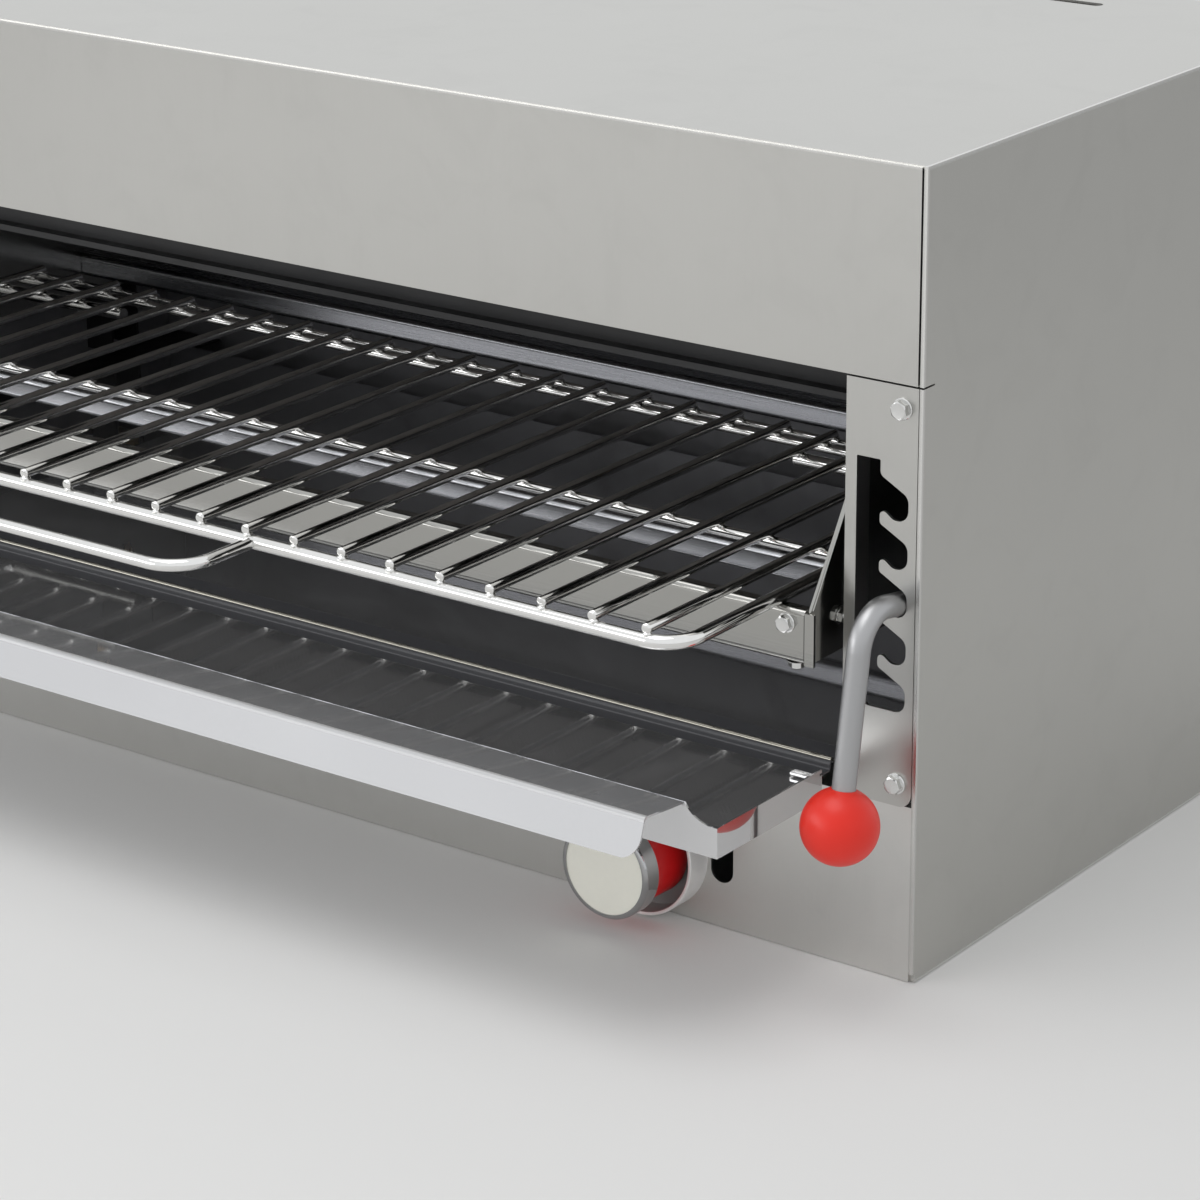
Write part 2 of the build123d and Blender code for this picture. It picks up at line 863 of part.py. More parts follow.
# Rack cheeks with a flange along the front edge
with BuildPart() as rack_cheek:
    foot_z = rail_top - front_rail_height
    flange_y = front + front_rail_back + cheek_sheet / 2
    step_z = rail_top - cheek_step_drop
    with BuildSketch(Plane.YZ.offset(cheek_inner)):
        with BuildLine():
            Polyline(
                (front + front_rail_back, foot_z),
                (front + front_rail_back, step_z),
                (front + cheek_step_back, step_z),
                (front + cheek_top_back, cheek_top),
                (front + cheek_shoulder_back, cheek_top),
                (front + cheek_waist_front, cheek_waist),
                (front + cheek_waist_back, cheek_waist),
                (front + cheek_rear_shoulder, cheek_top),
                (front + cheek_rear, cheek_top),
                (front + cheek_rear, foot_z),
                close=True,
            )
        make_face()
        with Locations((front + cheek_nut_back, cheek_nut_z)):
            Circle(bolt_shank / 2 + bolt_clearance, mode=Mode.SUBTRACT)
    extrude(amount=cheek_sheet)
    slab(
        (cheek_inner, cheek_inner + cheek_flange),
        (front + front_rail_back, front + front_rail_back + cheek_sheet),
        (foot_z, step_z),
    )
    with BuildSketch(Plane.YZ.offset(cheek_inner)):
        with BuildLine():
            Line((front + cheek_step_back + cheek_sheet, step_z), (front + cheek_top_back, cheek_top))
        trace(line_width=cheek_sheet)
    extrude(amount=cheek_edge)
save_pair(rack_cheek, "rack_cheek")

with BuildPart() as rack_bolts:
    for hand in (1, -1):
        rail_face = front + front_rail_back
        hex_bolt(front_seat(hand * rail_bolt_x, rail_face, rail_top - rail_bolt_drop), bolt_length)
        with BuildSketch(Plane.YZ.offset(hand * cheek_outer)):
            with Locations((front + cheek_nut_back, cheek_nut_z)):
                RegularPolygon(cheek_nut_across / 2, 6, major_radius=False)
        extrude(amount=hand * cheek_nut_height)
        with BuildSketch(Plane.YZ.offset(hand * cheek_outer)):
            with Locations((front + cheek_nut_back, cheek_nut_z)):
                Circle(bolt_shank / 2)
        extrude(amount=-hand * (cheek_sheet + cheek_gap))
        with BuildSketch(Plane.XY.offset(rail_top - front_rail_height)):
            with Locations((hand * stop_nut_x, front + stop_nut_back)):
                RegularPolygon(stop_nut_across / 2, 6, major_radius=False)
        extrude(amount=-stop_nut_height)
save(rack_bolts, "rack_bolts")

# Guide tracks on the liners and shoes on the cheeks
track_web = liner_half - liner_sheet
with BuildPart() as rack_track:
    half_gap = shoe_width / 2 + shoe_clearance
    with BuildSketch(Plane.XY.offset(track_low)):
        with BuildLine():
            Polyline(
                (track_web - track_depth, front + track_back - half_gap - track_sheet / 2),
                (track_web - track_sheet / 2, front + track_back - half_gap - track_sheet / 2),
                (track_web - track_sheet / 2, front + track_back + half_gap + track_sheet / 2),
                (track_web - track_depth, front + track_back + half_gap + track_sheet / 2),
            )
        trace(line_width=track_sheet)
    extrude(amount=track_high - track_low)
save_pair(rack_track, "rack_track")

with BuildPart() as guide_shoes:
    shoe_out = track_web - track_sheet - shoe_clearance
    shoe_in = track_web - track_depth + shoe_corner
    for shoe_z in (shoe_low_z, shoe_high_z):
        with BuildSketch(Plane.YZ.offset(shoe_in)):
            with Locations((front + track_back, shoe_z)):
                RectangleRounded(shoe_width, shoe_height, shoe_corner)
        extrude(amount=shoe_out - shoe_in)
        with BuildSketch(Plane.YZ.offset(cheek_outer)):
            with Locations((front + track_back, shoe_z)):
                Circle(shoe_pin_radius)
        extrude(amount=shoe_in - cheek_outer)
save_pair(guide_shoes, "guide_shoes")

# Handle: bracket, sprung lever with its bent rod, and ball
strip_x = rod_x - strip_thickness / 2
with BuildPart() as handle_bracket:
    with BuildSketch(Plane.XY.offset(rod_z - strip_height / 2)):
        with BuildLine():
            Polyline(
                (cheek_outer + bracket_sheet / 2, front + bracket_back - bracket_foot),
                (cheek_outer + bracket_sheet / 2, front + bracket_back),
                (strip_x - bracket_sheet / 2, front + bracket_back),
                (strip_x - bracket_sheet / 2, front + strip_back),
            )
        trace(line_width=bracket_sheet)
    extrude(amount=strip_height)
save(handle_bracket, "handle_bracket")

elbow = (rod_x, front - handle_reach, rod_z + handle_reach * tan(tilt))
leg_end = handle_leg - ball_bore_rest
with BuildPart() as handle_lever:
    with BuildLine() as lever_path:
        FilletPolyline(
            (rod_x, front + rod_inner, rod_z - rod_inner * tan(tilt)),
            elbow,
            (rod_x, elbow[1] - leg_end * sin(tilt), elbow[2] - leg_end * cos(tilt)),
            radius=handle_bend,
        )
    with BuildSketch(Plane(lever_path.line @ 0, z_dir=lever_path.line % 0)):
        Circle(rod_radius)
    sweep()
    slab(
        (strip_x, strip_x + strip_thickness),
        (front + strip_front, front + strip_back),
        (rod_z - strip_height / 2, rod_z + strip_height / 2),
    )
save(handle_lever, "handle_lever")

ball_spot = (rod_x, elbow[1] - handle_leg * sin(tilt), elbow[2] - handle_leg * cos(tilt))
with BuildPart() as handle_ball:
    with Locations(ball_spot):
        Sphere(ball_radius)
    with BuildSketch(Plane(ball_spot, z_dir=(0, sin(tilt), cos(tilt))).offset(ball_bore_rest)):
        Circle(rod_radius + ball_bore_clearance)
    extrude(amount=ball_radius, mode=Mode.SUBTRACT)
save(handle_ball, "handle_ball")

# Grid: bent frame rod, wires, cross rods and pull loop
frame_z = rail_top + rest_gap + frame_rod_radius
with BuildPart() as grid_frame:
    with BuildLine() as frame_path:
        FilletPolyline(
            (-frame_tail_x, front + frame_tail_back, frame_z),
            (-frame_half, front + frame_tail_back, frame_z),
            (-frame_half, front + frame_front, frame_z),
            (frame_half, front + frame_front, frame_z),
            (frame_half, front + frame_tail_back, frame_z),
            (frame_tail_x, front + frame_tail_back, frame_z),
            radius=[frame_tail_corner, frame_corner, frame_corner, frame_tail_corner],
        )
    with BuildSketch(Plane(frame_path.line @ 0, z_dir=frame_path.line % 0)):
        Circle(frame_rod_radius)
    sweep()
save(grid_frame, "grid_frame")

with BuildPart() as grid_wires:
    with BuildSketch(across(front + grid_front)):
        with Locations((0, wire_z)):
            with GridLocations(wire_pitch, 0, wire_count, 1):
                Circle(wire_radius)
    extrude(amount=-(wire_back - grid_front))
save(grid_wires, "grid_wires")

cross_z = wire_z - wire_radius - rest_gap
mid_rod_half = frame_half - frame_rod_radius - rest_gap
with BuildPart() as cross_rods:
    for rod_back, rod_half, radius in (
        (mid_rod_back, mid_rod_half, cross_rod_radius),
        (rear_rod_back, rear_rod_half, cross_rod_radius),
        (thin_rod_back, rear_rod_half, thin_rod_radius),
    ):
        with BuildSketch(Plane.YZ.offset(-rod_half)):
            with Locations((front + rod_back, cross_z - radius)):
                Circle(radius)
        extrude(amount=2 * rod_half)
save(cross_rods, "cross_rods")

pull_root = frame_front - frame_rod_radius - rest_gap
with BuildPart() as grid_pull:
    with BuildLine() as pull_path:
        FilletPolyline(
            (-pull_half, front + pull_root, frame_z),
            (-pull_half, front + pull_front, frame_z),
            (pull_half, front + pull_front, frame_z),
            (pull_half, front + pull_root, frame_z),
            radius=pull_corner,
        )
    with BuildSketch(Plane(pull_path.line @ 0, z_dir=pull_path.line % 0)):
        Circle(pull_radius)
    sweep()
save(grid_pull, "grid_pull")
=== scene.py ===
"""Dresses the salamander grill: cabinet, chromed rack, drip pan, lever with its red ball and gas knob.

Frame: metres, origin at the centre of the base, +X to the right seen from the front, +Y to the back, +Z up.
"""

import logging
import math
from dataclasses import dataclass, field
from enum import Enum
from functools import cached_property

import bmesh
import bpy
import numpy as np
from bpy.types import ID, Material, Node, NodeSocket, NodeTree, Object
from mathutils import Matrix, Vector


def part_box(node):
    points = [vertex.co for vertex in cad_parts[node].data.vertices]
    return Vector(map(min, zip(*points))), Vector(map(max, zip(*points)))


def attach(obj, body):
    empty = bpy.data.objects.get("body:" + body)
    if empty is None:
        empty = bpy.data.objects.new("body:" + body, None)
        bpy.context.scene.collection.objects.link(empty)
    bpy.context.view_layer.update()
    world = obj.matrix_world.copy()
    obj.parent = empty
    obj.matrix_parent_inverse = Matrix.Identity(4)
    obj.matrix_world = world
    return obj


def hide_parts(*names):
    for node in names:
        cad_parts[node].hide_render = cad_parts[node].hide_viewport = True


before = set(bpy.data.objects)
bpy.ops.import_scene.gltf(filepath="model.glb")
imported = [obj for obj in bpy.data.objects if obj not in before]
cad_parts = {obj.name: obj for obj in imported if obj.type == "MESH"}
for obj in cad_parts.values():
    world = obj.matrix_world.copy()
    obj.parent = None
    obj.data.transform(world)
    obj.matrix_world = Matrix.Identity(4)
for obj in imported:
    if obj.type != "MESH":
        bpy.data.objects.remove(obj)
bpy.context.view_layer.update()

LOG = logging.getLogger("salamander")

Colour = tuple[float, float, float]
Place = tuple[float, float, float]
Span = tuple[float, float]
Surface = tuple[np.ndarray, np.ndarray]

RIGHTWARD = np.array([1.0, 0.0, 0.0])
BACKWARD = np.array([0.0, 1.0, 0.0])
UPWARD = np.array([0.0, 0.0, 1.0])

# Numbers of the Mix node's sockets for colours, because its names repeat
MIX_FACTOR, MIX_FIRST, MIX_SECOND, MIX_RESULT = 0, 6, 7, 2


class Lay(Enum):
    """Run of the polishing grain, as stretch factors of its noise per axis."""

    ACROSS = (0.02, 1.0, 1.0)
    UPRIGHT = (1.0, 1.0, 0.02)
    EVEN = (1.0, 1.0, 1.0)


class Socket(Enum):
    """Kinds of sockets on a node group."""

    VALUE = "NodeSocketFloat"
    COLOUR = "NodeSocketColor"
    VECTOR = "NodeSocketVector"


# Surfaces as whole arrays: a surface is its points, of shape (points, 3), and its quads


def ring_angles(columns: int) -> np.ndarray:
    """Even angles round a full turn."""
    return np.linspace(0, 2 * math.pi, columns, endpoint=False)


def grid_quads(rows: int, columns: int) -> np.ndarray:
    """Quads of a grid whose columns close into a ring.

    Formula: corner (i, j) joins (i, j + 1), (i + 1, j + 1) and (i + 1, j), with j taken modulo columns.

    Args:
        rows: number of rings along the profile.
        columns: number of points round each ring.

    Returns:
        Integer array of shape (quads, 4).
    """
    i, j = np.meshgrid(np.arange(rows - 1), np.arange(columns), indexing="ij")
    here, there, near = i * columns, (i + 1) * columns, (j + 1) % columns
    return np.stack([here + j, here + near, there + near, there + j], -1).reshape(-1, 4)


def rings(radius: np.ndarray, height: np.ndarray) -> Surface:
    """Rings about the local z axis.

    Formula: point (k, j) = (r cos a, r sin a, h), with the radius r and height h of row k and column j,
    and the angle a of column j.

    Args:
        radius: array of shape (rows, columns).
        height: array of the same shape.

    Returns:
        Points and quads.
    """
    angle = ring_angles(radius.shape[1])
    points = np.stack([radius * np.cos(angle), radius * np.sin(angle), height], -1)
    return points.reshape(-1, 3), grid_quads(*radius.shape)


def lathe(profile: np.ndarray, columns: int) -> Surface:
    """Turns a profile about the local z axis: each row (radius, height) becomes a ring of points."""
    return rings(*(np.repeat(side[:, None], columns, axis=1) for side in profile.T))


def repeat_quads(quads: np.ndarray, points: int, copies: int) -> np.ndarray:
    """Faces of many copies: those of copy k are shifted by k times the points of one copy."""
    return (quads[None] + np.arange(copies)[:, None, None] * points).reshape(-1, 4)


def copy_surface(local: Surface, seats: np.ndarray, frames: np.ndarray) -> Surface:
    """Copies one local surface to many seats.

    Formula: point = seat + frame times local point, for each seat and each point at once.

    Args:
        local: points and quads of one copy.
        seats: positions of shape (seats, 3).
        frames: axes as columns, one frame for all seats or one for each.

    Returns:
        Points and quads of all the copies.
    """
    points, quads = local
    frames = np.broadcast_to(frames, (len(seats), 3, 3))
    placed = seats[:, None, :] + np.einsum("sij,pj->spi", frames, points)
    return placed.reshape(-1, 3), repeat_quads(quads, len(points), len(seats))


def join_surfaces(*surfaces: Surface) -> Surface:
    """Joins surfaces into one: the faces of each are shifted by the points before it.

    Args:
        surfaces: points and quads of each.

    Returns:
        Points and quads of all.
    """
    points, quads = zip(*surfaces)
    before = np.cumsum([0] + [len(part) for part in points[:-1]])
    return np.vstack(points), np.vstack([part + shift for part, shift in zip(quads, before)])


def axes_from(normal: np.ndarray, across: np.ndarray) -> np.ndarray:
    """Axes as columns, for all seats or for each: local x along across, local z along the normal."""
    normal, across = np.broadcast_arrays(normal, across)
    return np.stack([across, np.cross(normal, across), normal], -1)


def mirror_pair(right: np.ndarray | Place) -> np.ndarray:
    """A place or direction on the right and its mirror image on the left, of shape (2, 3)."""
    return np.array(right) * np.array([[1.0, 1.0, 1.0], [-1.0, 1.0, 1.0]])


def stand(name: str, data: ID) -> Object:
    """Puts a new object in the scene, at the origin.

    Args:
        name: its name.
        data: its mesh, light or camera.

    Returns:
        The object.
    """
    piece = bpy.data.objects.new(name, data)
    bpy.context.scene.collection.objects.link(piece)
    return piece


def build_mesh(name: str, surface: Surface, crease: float, merge: float = 1e-6) -> Object:
    """Makes an object from a surface, merges its poles, turns its faces outwards and keeps its creases.

    Args:
        name: name of the piece.
        surface: its points, in metres, and its quads.
        crease: angle in degrees above which an edge stays sharp.
        merge: distance in metres under which points are merged.

    Returns:
        The new object, linked to the scene, sitting at the origin.
    """
    points, quads = surface
    mesh = bpy.data.meshes.new(name)
    mesh.from_pydata(points.tolist(), [], quads.tolist())
    edit = bmesh.new()
    edit.from_mesh(mesh)
    bmesh.ops.remove_doubles(edit, verts=edit.verts, dist=merge)
    bmesh.ops.recalc_face_normals(edit, faces=edit.faces)
    edit.to_mesh(mesh)
    edit.free()
    mesh.polygons.foreach_set("use_smooth", np.ones(len(mesh.polygons), dtype=bool))
    mesh.set_sharp_from_angle(angle=math.radians(crease))
    return stand(name, mesh)


# Nodes and the shader groups shared by the finishes


def plug(node: Node, inputs: dict[str | int, object]) -> None:
    """Gives a node its inputs.

    Args:
        node: the node.
        inputs: by name or number, a socket to link or a constant to set.
    """
    for label, value in inputs.items():
        if isinstance(value, NodeSocket):
            node.id_data.links.new(value, node.inputs[label])
        else:
            node.inputs[label].default_value = value


def add_node(tree: NodeTree, kind: str, inputs: dict[str | int, object], **options: object) -> Node:
    """Adds a node, sets its options and gives it its inputs.

    Args:
        tree: the tree that it joins.
        kind: the node's type.
        inputs: by name or number, a socket to link or a constant to set.
        options: the node's own options, such as its operation.

    Returns:
        The node.
    """
    node = tree.nodes.new(kind)
    for label, value in options.items():
        setattr(node, label, value)
    plug(node, inputs)
    return node


def reckon(tree: NodeTree, operation: str, *values: object) -> NodeSocket:
    """The result of a Math node on sockets or constants."""
    return add_node(tree, "ShaderNodeMath", dict(enumerate(values)), operation=operation).outputs[0]


def reckon_vector(tree: NodeTree, operation: str, *values: object) -> NodeSocket:
    """The vector result of a Vector Math node on sockets or constants."""
    return add_node(tree, "ShaderNodeVectorMath", dict(enumerate(values)), operation=operation).outputs[0]


def opaque(colour: Colour | NodeSocket) -> object:
    """A colour as an input takes it: a socket as it is, a constant with full alpha."""
    return colour if isinstance(colour, NodeSocket) else (*colour, 1.0)


@dataclass
class ShaderGroups:
    """Shared effects, each a node group made on first use: streaks, marks, an edge mask for wear and a
    painted edge highlight, and tone.
    """

    origin: tuple[Socket, Place] = (Socket.VECTOR, (0.0, 0.0, 0.0))
    unit: tuple[Socket, Place] = (Socket.VECTOR, (1.0, 1.0, 1.0))

    @staticmethod
    def fresh(name: str, inputs: dict[str, tuple[Socket, object]],
              outputs: dict[str, Socket]) -> tuple[NodeTree, Node, Node]:
        """Starts a group with its named sockets.

        Args:
            name: group name.
            inputs: kind and default of each input.
            outputs: kind of each output.

        Returns:
            The tree, its input node and its output node.
        """
        tree = bpy.data.node_groups.new(name, "ShaderNodeTree")
        for label, (kind, default) in inputs.items():
            socket = tree.interface.new_socket(label, in_out="INPUT", socket_type=kind.value)
            socket.default_value = default
        for label, kind in outputs.items():
            tree.interface.new_socket(label, in_out="OUTPUT", socket_type=kind.value)
        return tree, tree.nodes.new("NodeGroupInput"), tree.nodes.new("NodeGroupOutput")

    @cached_property
    def streaks(self) -> NodeTree:
        """Polishing streaks: noise drawn out along the grain, with a slow cloud over it.

        Returns:
            Group with inputs Vector, Stretch, Fineness and outputs Streak, Cloud.
        """
        tree, start, end = self.fresh(
            "Grain streaks",
            {"Vector": self.origin, "Stretch": self.unit, "Fineness": (Socket.VALUE, 900.0)},
            {"Streak": Socket.VALUE, "Cloud": Socket.VALUE},
        )
        given = start.outputs
        drawn = reckon_vector(tree, "MULTIPLY", given["Vector"], given["Stretch"])
        fine = add_node(tree, "ShaderNodeTexNoise", {"Vector": drawn, "Scale": given["Fineness"],
                                                     "Detail": 3.0, "Roughness": 0.6})
        cloud = add_node(tree, "ShaderNodeTexNoise", {"Vector": given["Vector"], "Scale": 5.5, "Detail": 2.0})
        plug(end, {"Streak": fine.outputs["Fac"], "Cloud": cloud.outputs["Fac"]})
        return tree

    @cached_property
    def marks(self) -> NodeTree:
        """Handling marks: wiped patches and fine specks as a mask.

        Returns:
            Group with inputs Vector, Size and output Mark.
        """
        tree, start, end = self.fresh(
            "Handling marks",
            {"Vector": self.origin, "Size": (Socket.VALUE, 26.0)},
            {"Mark": Socket.VALUE},
        )
        patch = add_node(tree, "ShaderNodeTexNoise", {
            "Vector": start.outputs["Vector"], "Scale": start.outputs["Size"],
            "Detail": 5.0, "Roughness": 0.62, "Distortion": 0.7})
        reach = {"Value": patch.outputs["Fac"], "From Min": 0.46, "From Max": 0.74}
        ramp = add_node(tree, "ShaderNodeMapRange", reach, interpolation_type="SMOOTHSTEP")
        plug(end, {"Mark": ramp.outputs["Result"]})
        return tree

    @cached_property
    def edge_wear_highlight_group(self) -> NodeTree:
        """Edge mask: a mask along the folded edges of a box, which carries both edge wear and a painted edge
        highlight.

        Formula: a point's gap to the faces of each axis is half the size less its distance from the centre,
        in mask widths. Nearness falls from 1 to 0 as a gap grows to one width. The mask is the highest
        product of two nearnesses.

        Returns:
            Group with inputs Vector, Centre, Half, Width and output Mask.
        """
        tree, start, end = self.fresh(
            "Edge wear and painted highlight",
            {"Vector": self.origin, "Centre": self.origin, "Half": self.unit, "Width": (Socket.VALUE, 0.002)},
            {"Mask": Socket.VALUE},
        )
        given = start.outputs
        away = reckon_vector(tree, "SUBTRACT", given["Vector"], given["Centre"])
        reach = reckon_vector(tree, "ABSOLUTE", away)
        gap = reckon_vector(tree, "SUBTRACT", given["Half"], reach)
        widths = reckon_vector(tree, "DIVIDE", gap, given["Width"])
        axes = add_node(tree, "ShaderNodeSeparateXYZ", {0: widths}).outputs
        near = [add_node(tree, "ShaderNodeMapRange", {"Value": axes[axis], "From Min": 0.35, "To Min": 1.0,
                                                      "To Max": 0.0}).outputs["Result"] for axis in "XYZ"]
        front, side, top = (reckon(tree, "MULTIPLY", near[first], near[second])
                            for first, second in ((0, 1), (1, 2), (0, 2)))
        plug(end, {"Mask": reckon(tree, "MAXIMUM", reckon(tree, "MAXIMUM", front, side), top)})
        return tree

    @cached_property
    def tone(self) -> NodeTree:
        """Tone: a colour brightened and darkened by a value that varies about one half.

        Returns:
            Group with inputs Colour, Value, Swing and output Colour.
        """
        tree, start, end = self.fresh(
            "Tone",
            {"Colour": (Socket.COLOUR, (0.5, 0.5, 0.5, 1.0)), "Value": (Socket.VALUE, 0.5),
             "Swing": (Socket.VALUE, 0.1)},
            {"Colour": Socket.COLOUR},
        )
        given = start.outputs
        centred = reckon(tree, "SUBTRACT", given["Value"], 0.5)
        share = reckon(tree, "MULTIPLY_ADD", centred, given["Swing"], 1.0)
        inputs = {0: given["Colour"], "Scale": share}
        scaled = add_node(tree, "ShaderNodeVectorMath", inputs, operation="SCALE")
        plug(end, {"Colour": scaled.outputs[0]})
        return tree


@dataclass
class Bench:
    """One material being wired: its tree, its Principled shader and its object coordinates."""

    groups: ShaderGroups
    name: str

    def __post_init__(self) -> None:
        """Makes the material with a bare Principled shader."""
        self.material = bpy.data.materials.new(self.name)
        self.material.use_nodes = True
        self.tree = self.material.node_tree
        self.shader = self.tree.nodes["Principled BSDF"]
        self.place = add_node(self.tree, "ShaderNodeTexCoord", {}).outputs["Object"]

    def effect(self, group: NodeTree, **inputs: object) -> Node:
        """Places a shared group, with sockets to link and constants to set by the names of its inputs."""
        return add_node(self.tree, "ShaderNodeGroup", inputs, node_tree=group)

    def grain(self, lay: Lay, fineness: float) -> tuple[NodeSocket, NodeSocket]:
        """The streaks of a grain and the slow cloud over them."""
        node = self.effect(self.groups.streaks, Vector=self.place, Stretch=lay.value, Fineness=fineness)
        return node.outputs["Streak"], node.outputs["Cloud"]

    def marks(self, size: float) -> NodeSocket:
        """A mask of handling marks, finer where the size is higher."""
        return self.effect(self.groups.marks, Vector=self.place, Size=size).outputs["Mark"]

    def tone(self, colour: Colour | NodeSocket, value: NodeSocket, swing: float) -> NodeSocket:
        """A colour that swings with a varying value."""
        node = self.effect(self.groups.tone, Colour=opaque(colour), Value=value, Swing=swing)
        return node.outputs["Colour"]

    def span(self, value: NodeSocket, low: float, high: float, start: float = 0.3,
             stop: float = 0.7) -> NodeSocket:
        """Maps start to stop, the usual reach of a noise, onto low to high."""
        inputs = {"Value": value, "From Min": start, "From Max": stop, "To Min": low, "To Max": high}
        return add_node(self.tree, "ShaderNodeMapRange", inputs).outputs["Result"]

    def weigh(self, mask: NodeSocket, off: float, on: float) -> NodeSocket:
        """A value that goes from off, where the mask is 0, to on, where it is 1."""
        return self.span(mask, off, on, 0.0, 1.0)

    def blend(self, mask: NodeSocket, off: Colour | NodeSocket, on: Colour | NodeSocket) -> NodeSocket:
        """A colour that goes from off, where the mask is 0, to on, where it is 1."""
        inputs = {MIX_FACTOR: mask, MIX_FIRST: opaque(off), MIX_SECOND: opaque(on)}
        return add_node(self.tree, "ShaderNodeMix", inputs, data_type="RGBA").outputs[MIX_RESULT]

    def plus(self, first: NodeSocket, second: NodeSocket) -> NodeSocket:
        """The sum of two values."""
        return reckon(self.tree, "ADD", first, second)

    def both(self, first: NodeSocket, second: NodeSocket) -> NodeSocket:
        """The product of two values, which is a mask where both masks hold."""
        return reckon(self.tree, "MULTIPLY", first, second)

    def higher(self, first: NodeSocket, second: NodeSocket) -> NodeSocket:
        """The higher of two values."""
        return reckon(self.tree, "MAXIMUM", first, second)

    def within(self, value: NodeSocket, low: float, high: float, soft: float) -> NodeSocket:
        """A mask that holds from low to high, with each edge soft by so much to both sides."""
        risen = self.span(value, 0.0, 1.0, low - soft, low + soft)
        return self.both(risen, self.span(value, 1.0, 0.0, high - soft, high + soft))

    def finish(self, inputs: dict[str, object], height: NodeSocket, relief: float, depth: float) -> None:
        """Gives the shader its inputs and its relief.

        Args:
            inputs: by name, a socket to link or a constant to set.
            height: the varying height of the relief.
            relief: strength of the bump.
            depth: distance of the bump in metres.
        """
        rise = {"Strength": relief, "Distance": depth, "Height": height}
        bump = add_node(self.tree, "ShaderNodeBump", rise)
        plug(self.shader, {**inputs, "Normal": bump.outputs["Normal"]})


# Finishes


@dataclass(frozen=True)
class Recipe:
    """What every finish has: a name, a main colour and a way to be wired."""

    name: str
    colour: Colour

    def make(self, groups: ShaderGroups) -> Material:
        """Makes the material.

        Args:
            groups: the shared effects.

        Returns:
            The material.
        """
        bench = Bench(groups, self.name)
        self.wire(bench)
        return bench.material

    def wire(self, bench: Bench) -> None:
        """Wires the shader. Each finish has its own way."""
        raise NotImplementedError(self.name)


@dataclass(frozen=True)
class SteelFinish(Recipe):
    """Bare or plated metal with polishing grain and handling marks."""

    rough: Span
    lay: Lay = Lay.EVEN
    fineness: float = 900.0
    swing: float = 0.08
    mark: float = 0.05
    stain: Colour = (0.42, 0.40, 0.37)
    relief: float = 0.04
    metal: float = 1.0
    cloud_share: float = 0.8
    mark_size: float = 26.0
    depth: float = 0.0004

    def wire(self, bench: Bench) -> None:
        """Wires grain and cloud into the colour, with stained patches over them.

        Args:
            bench: the material being wired.
        """
        streak, cloud = bench.grain(self.lay, self.fineness)
        clean = bench.tone(bench.tone(self.colour, streak, self.swing), cloud, self.swing * self.cloud_share)
        wiped = bench.weigh(bench.marks(self.mark_size), 0.0, self.mark)
        bench.finish({
            "Base Color": bench.blend(wiped, clean, self.stain),
            "Roughness": bench.span(streak, *self.rough),
            "Metallic": self.metal,
        }, streak, self.relief, self.depth)


@dataclass(frozen=True)
class SheetFinish(Recipe):
    """Satin cabinet sheet: fine upright grain, faint wiped patches, and edges worn smoother that also carry a
    painted highlight in a brighter colour.
    """

    rough: Span
    # Painted highlight: the brighter colour blended in along the cabinet's edges.
    edge_highlight_colour: Colour = (0.74, 0.735, 0.72)
    rub_rough: float = 0.20
    edge_highlight_share: float = 0.7
    edge_wear_highlight_width: float = 0.0022
    centre: Place = (0.0, 0.0, 0.2225)
    half: Place = (0.4572, 0.2200, 0.2225)
    fineness: float = 900.0
    mark_size: float = 26.0
    streak_swing: float = 0.035
    cloud_swing: float = 0.05
    mark_swing: float = -0.03
    relief: float = 0.012
    depth: float = 0.0004

    def wire(self, bench: Bench) -> None:
        """Wires grain, cloud and marks into the colour; along the cabinet's edges the sheet is smoother from
        wear and painted brighter as a highlight.

        Args:
            bench: the material being wired.
        """
        streak, cloud = bench.grain(Lay.UPRIGHT, self.fineness)
        edge_wear_highlight = bench.effect(bench.groups.edge_wear_highlight_group, Vector=bench.place, Centre=self.centre, Half=self.half,
                           Width=self.edge_wear_highlight_width).outputs["Mask"]
        satin = bench.tone(bench.tone(self.colour, streak, self.streak_swing), cloud, self.cloud_swing)
        wiped = bench.tone(satin, bench.marks(self.mark_size), self.mark_swing)
        smooth = bench.weigh(edge_wear_highlight, 0.0, self.rub_rough - self.rough[0])
        # Painted highlight along the edges in the base colour; the smoother roughness there is wear.
        bench.finish({
            "Base Color": bench.blend(bench.weigh(edge_wear_highlight, 0.0, self.edge_highlight_share), wiped, self.edge_highlight_colour),
            "Roughness": bench.plus(bench.span(streak, *self.rough), smooth),
            "Metallic": 1.0,
        }, streak, self.relief, self.depth)


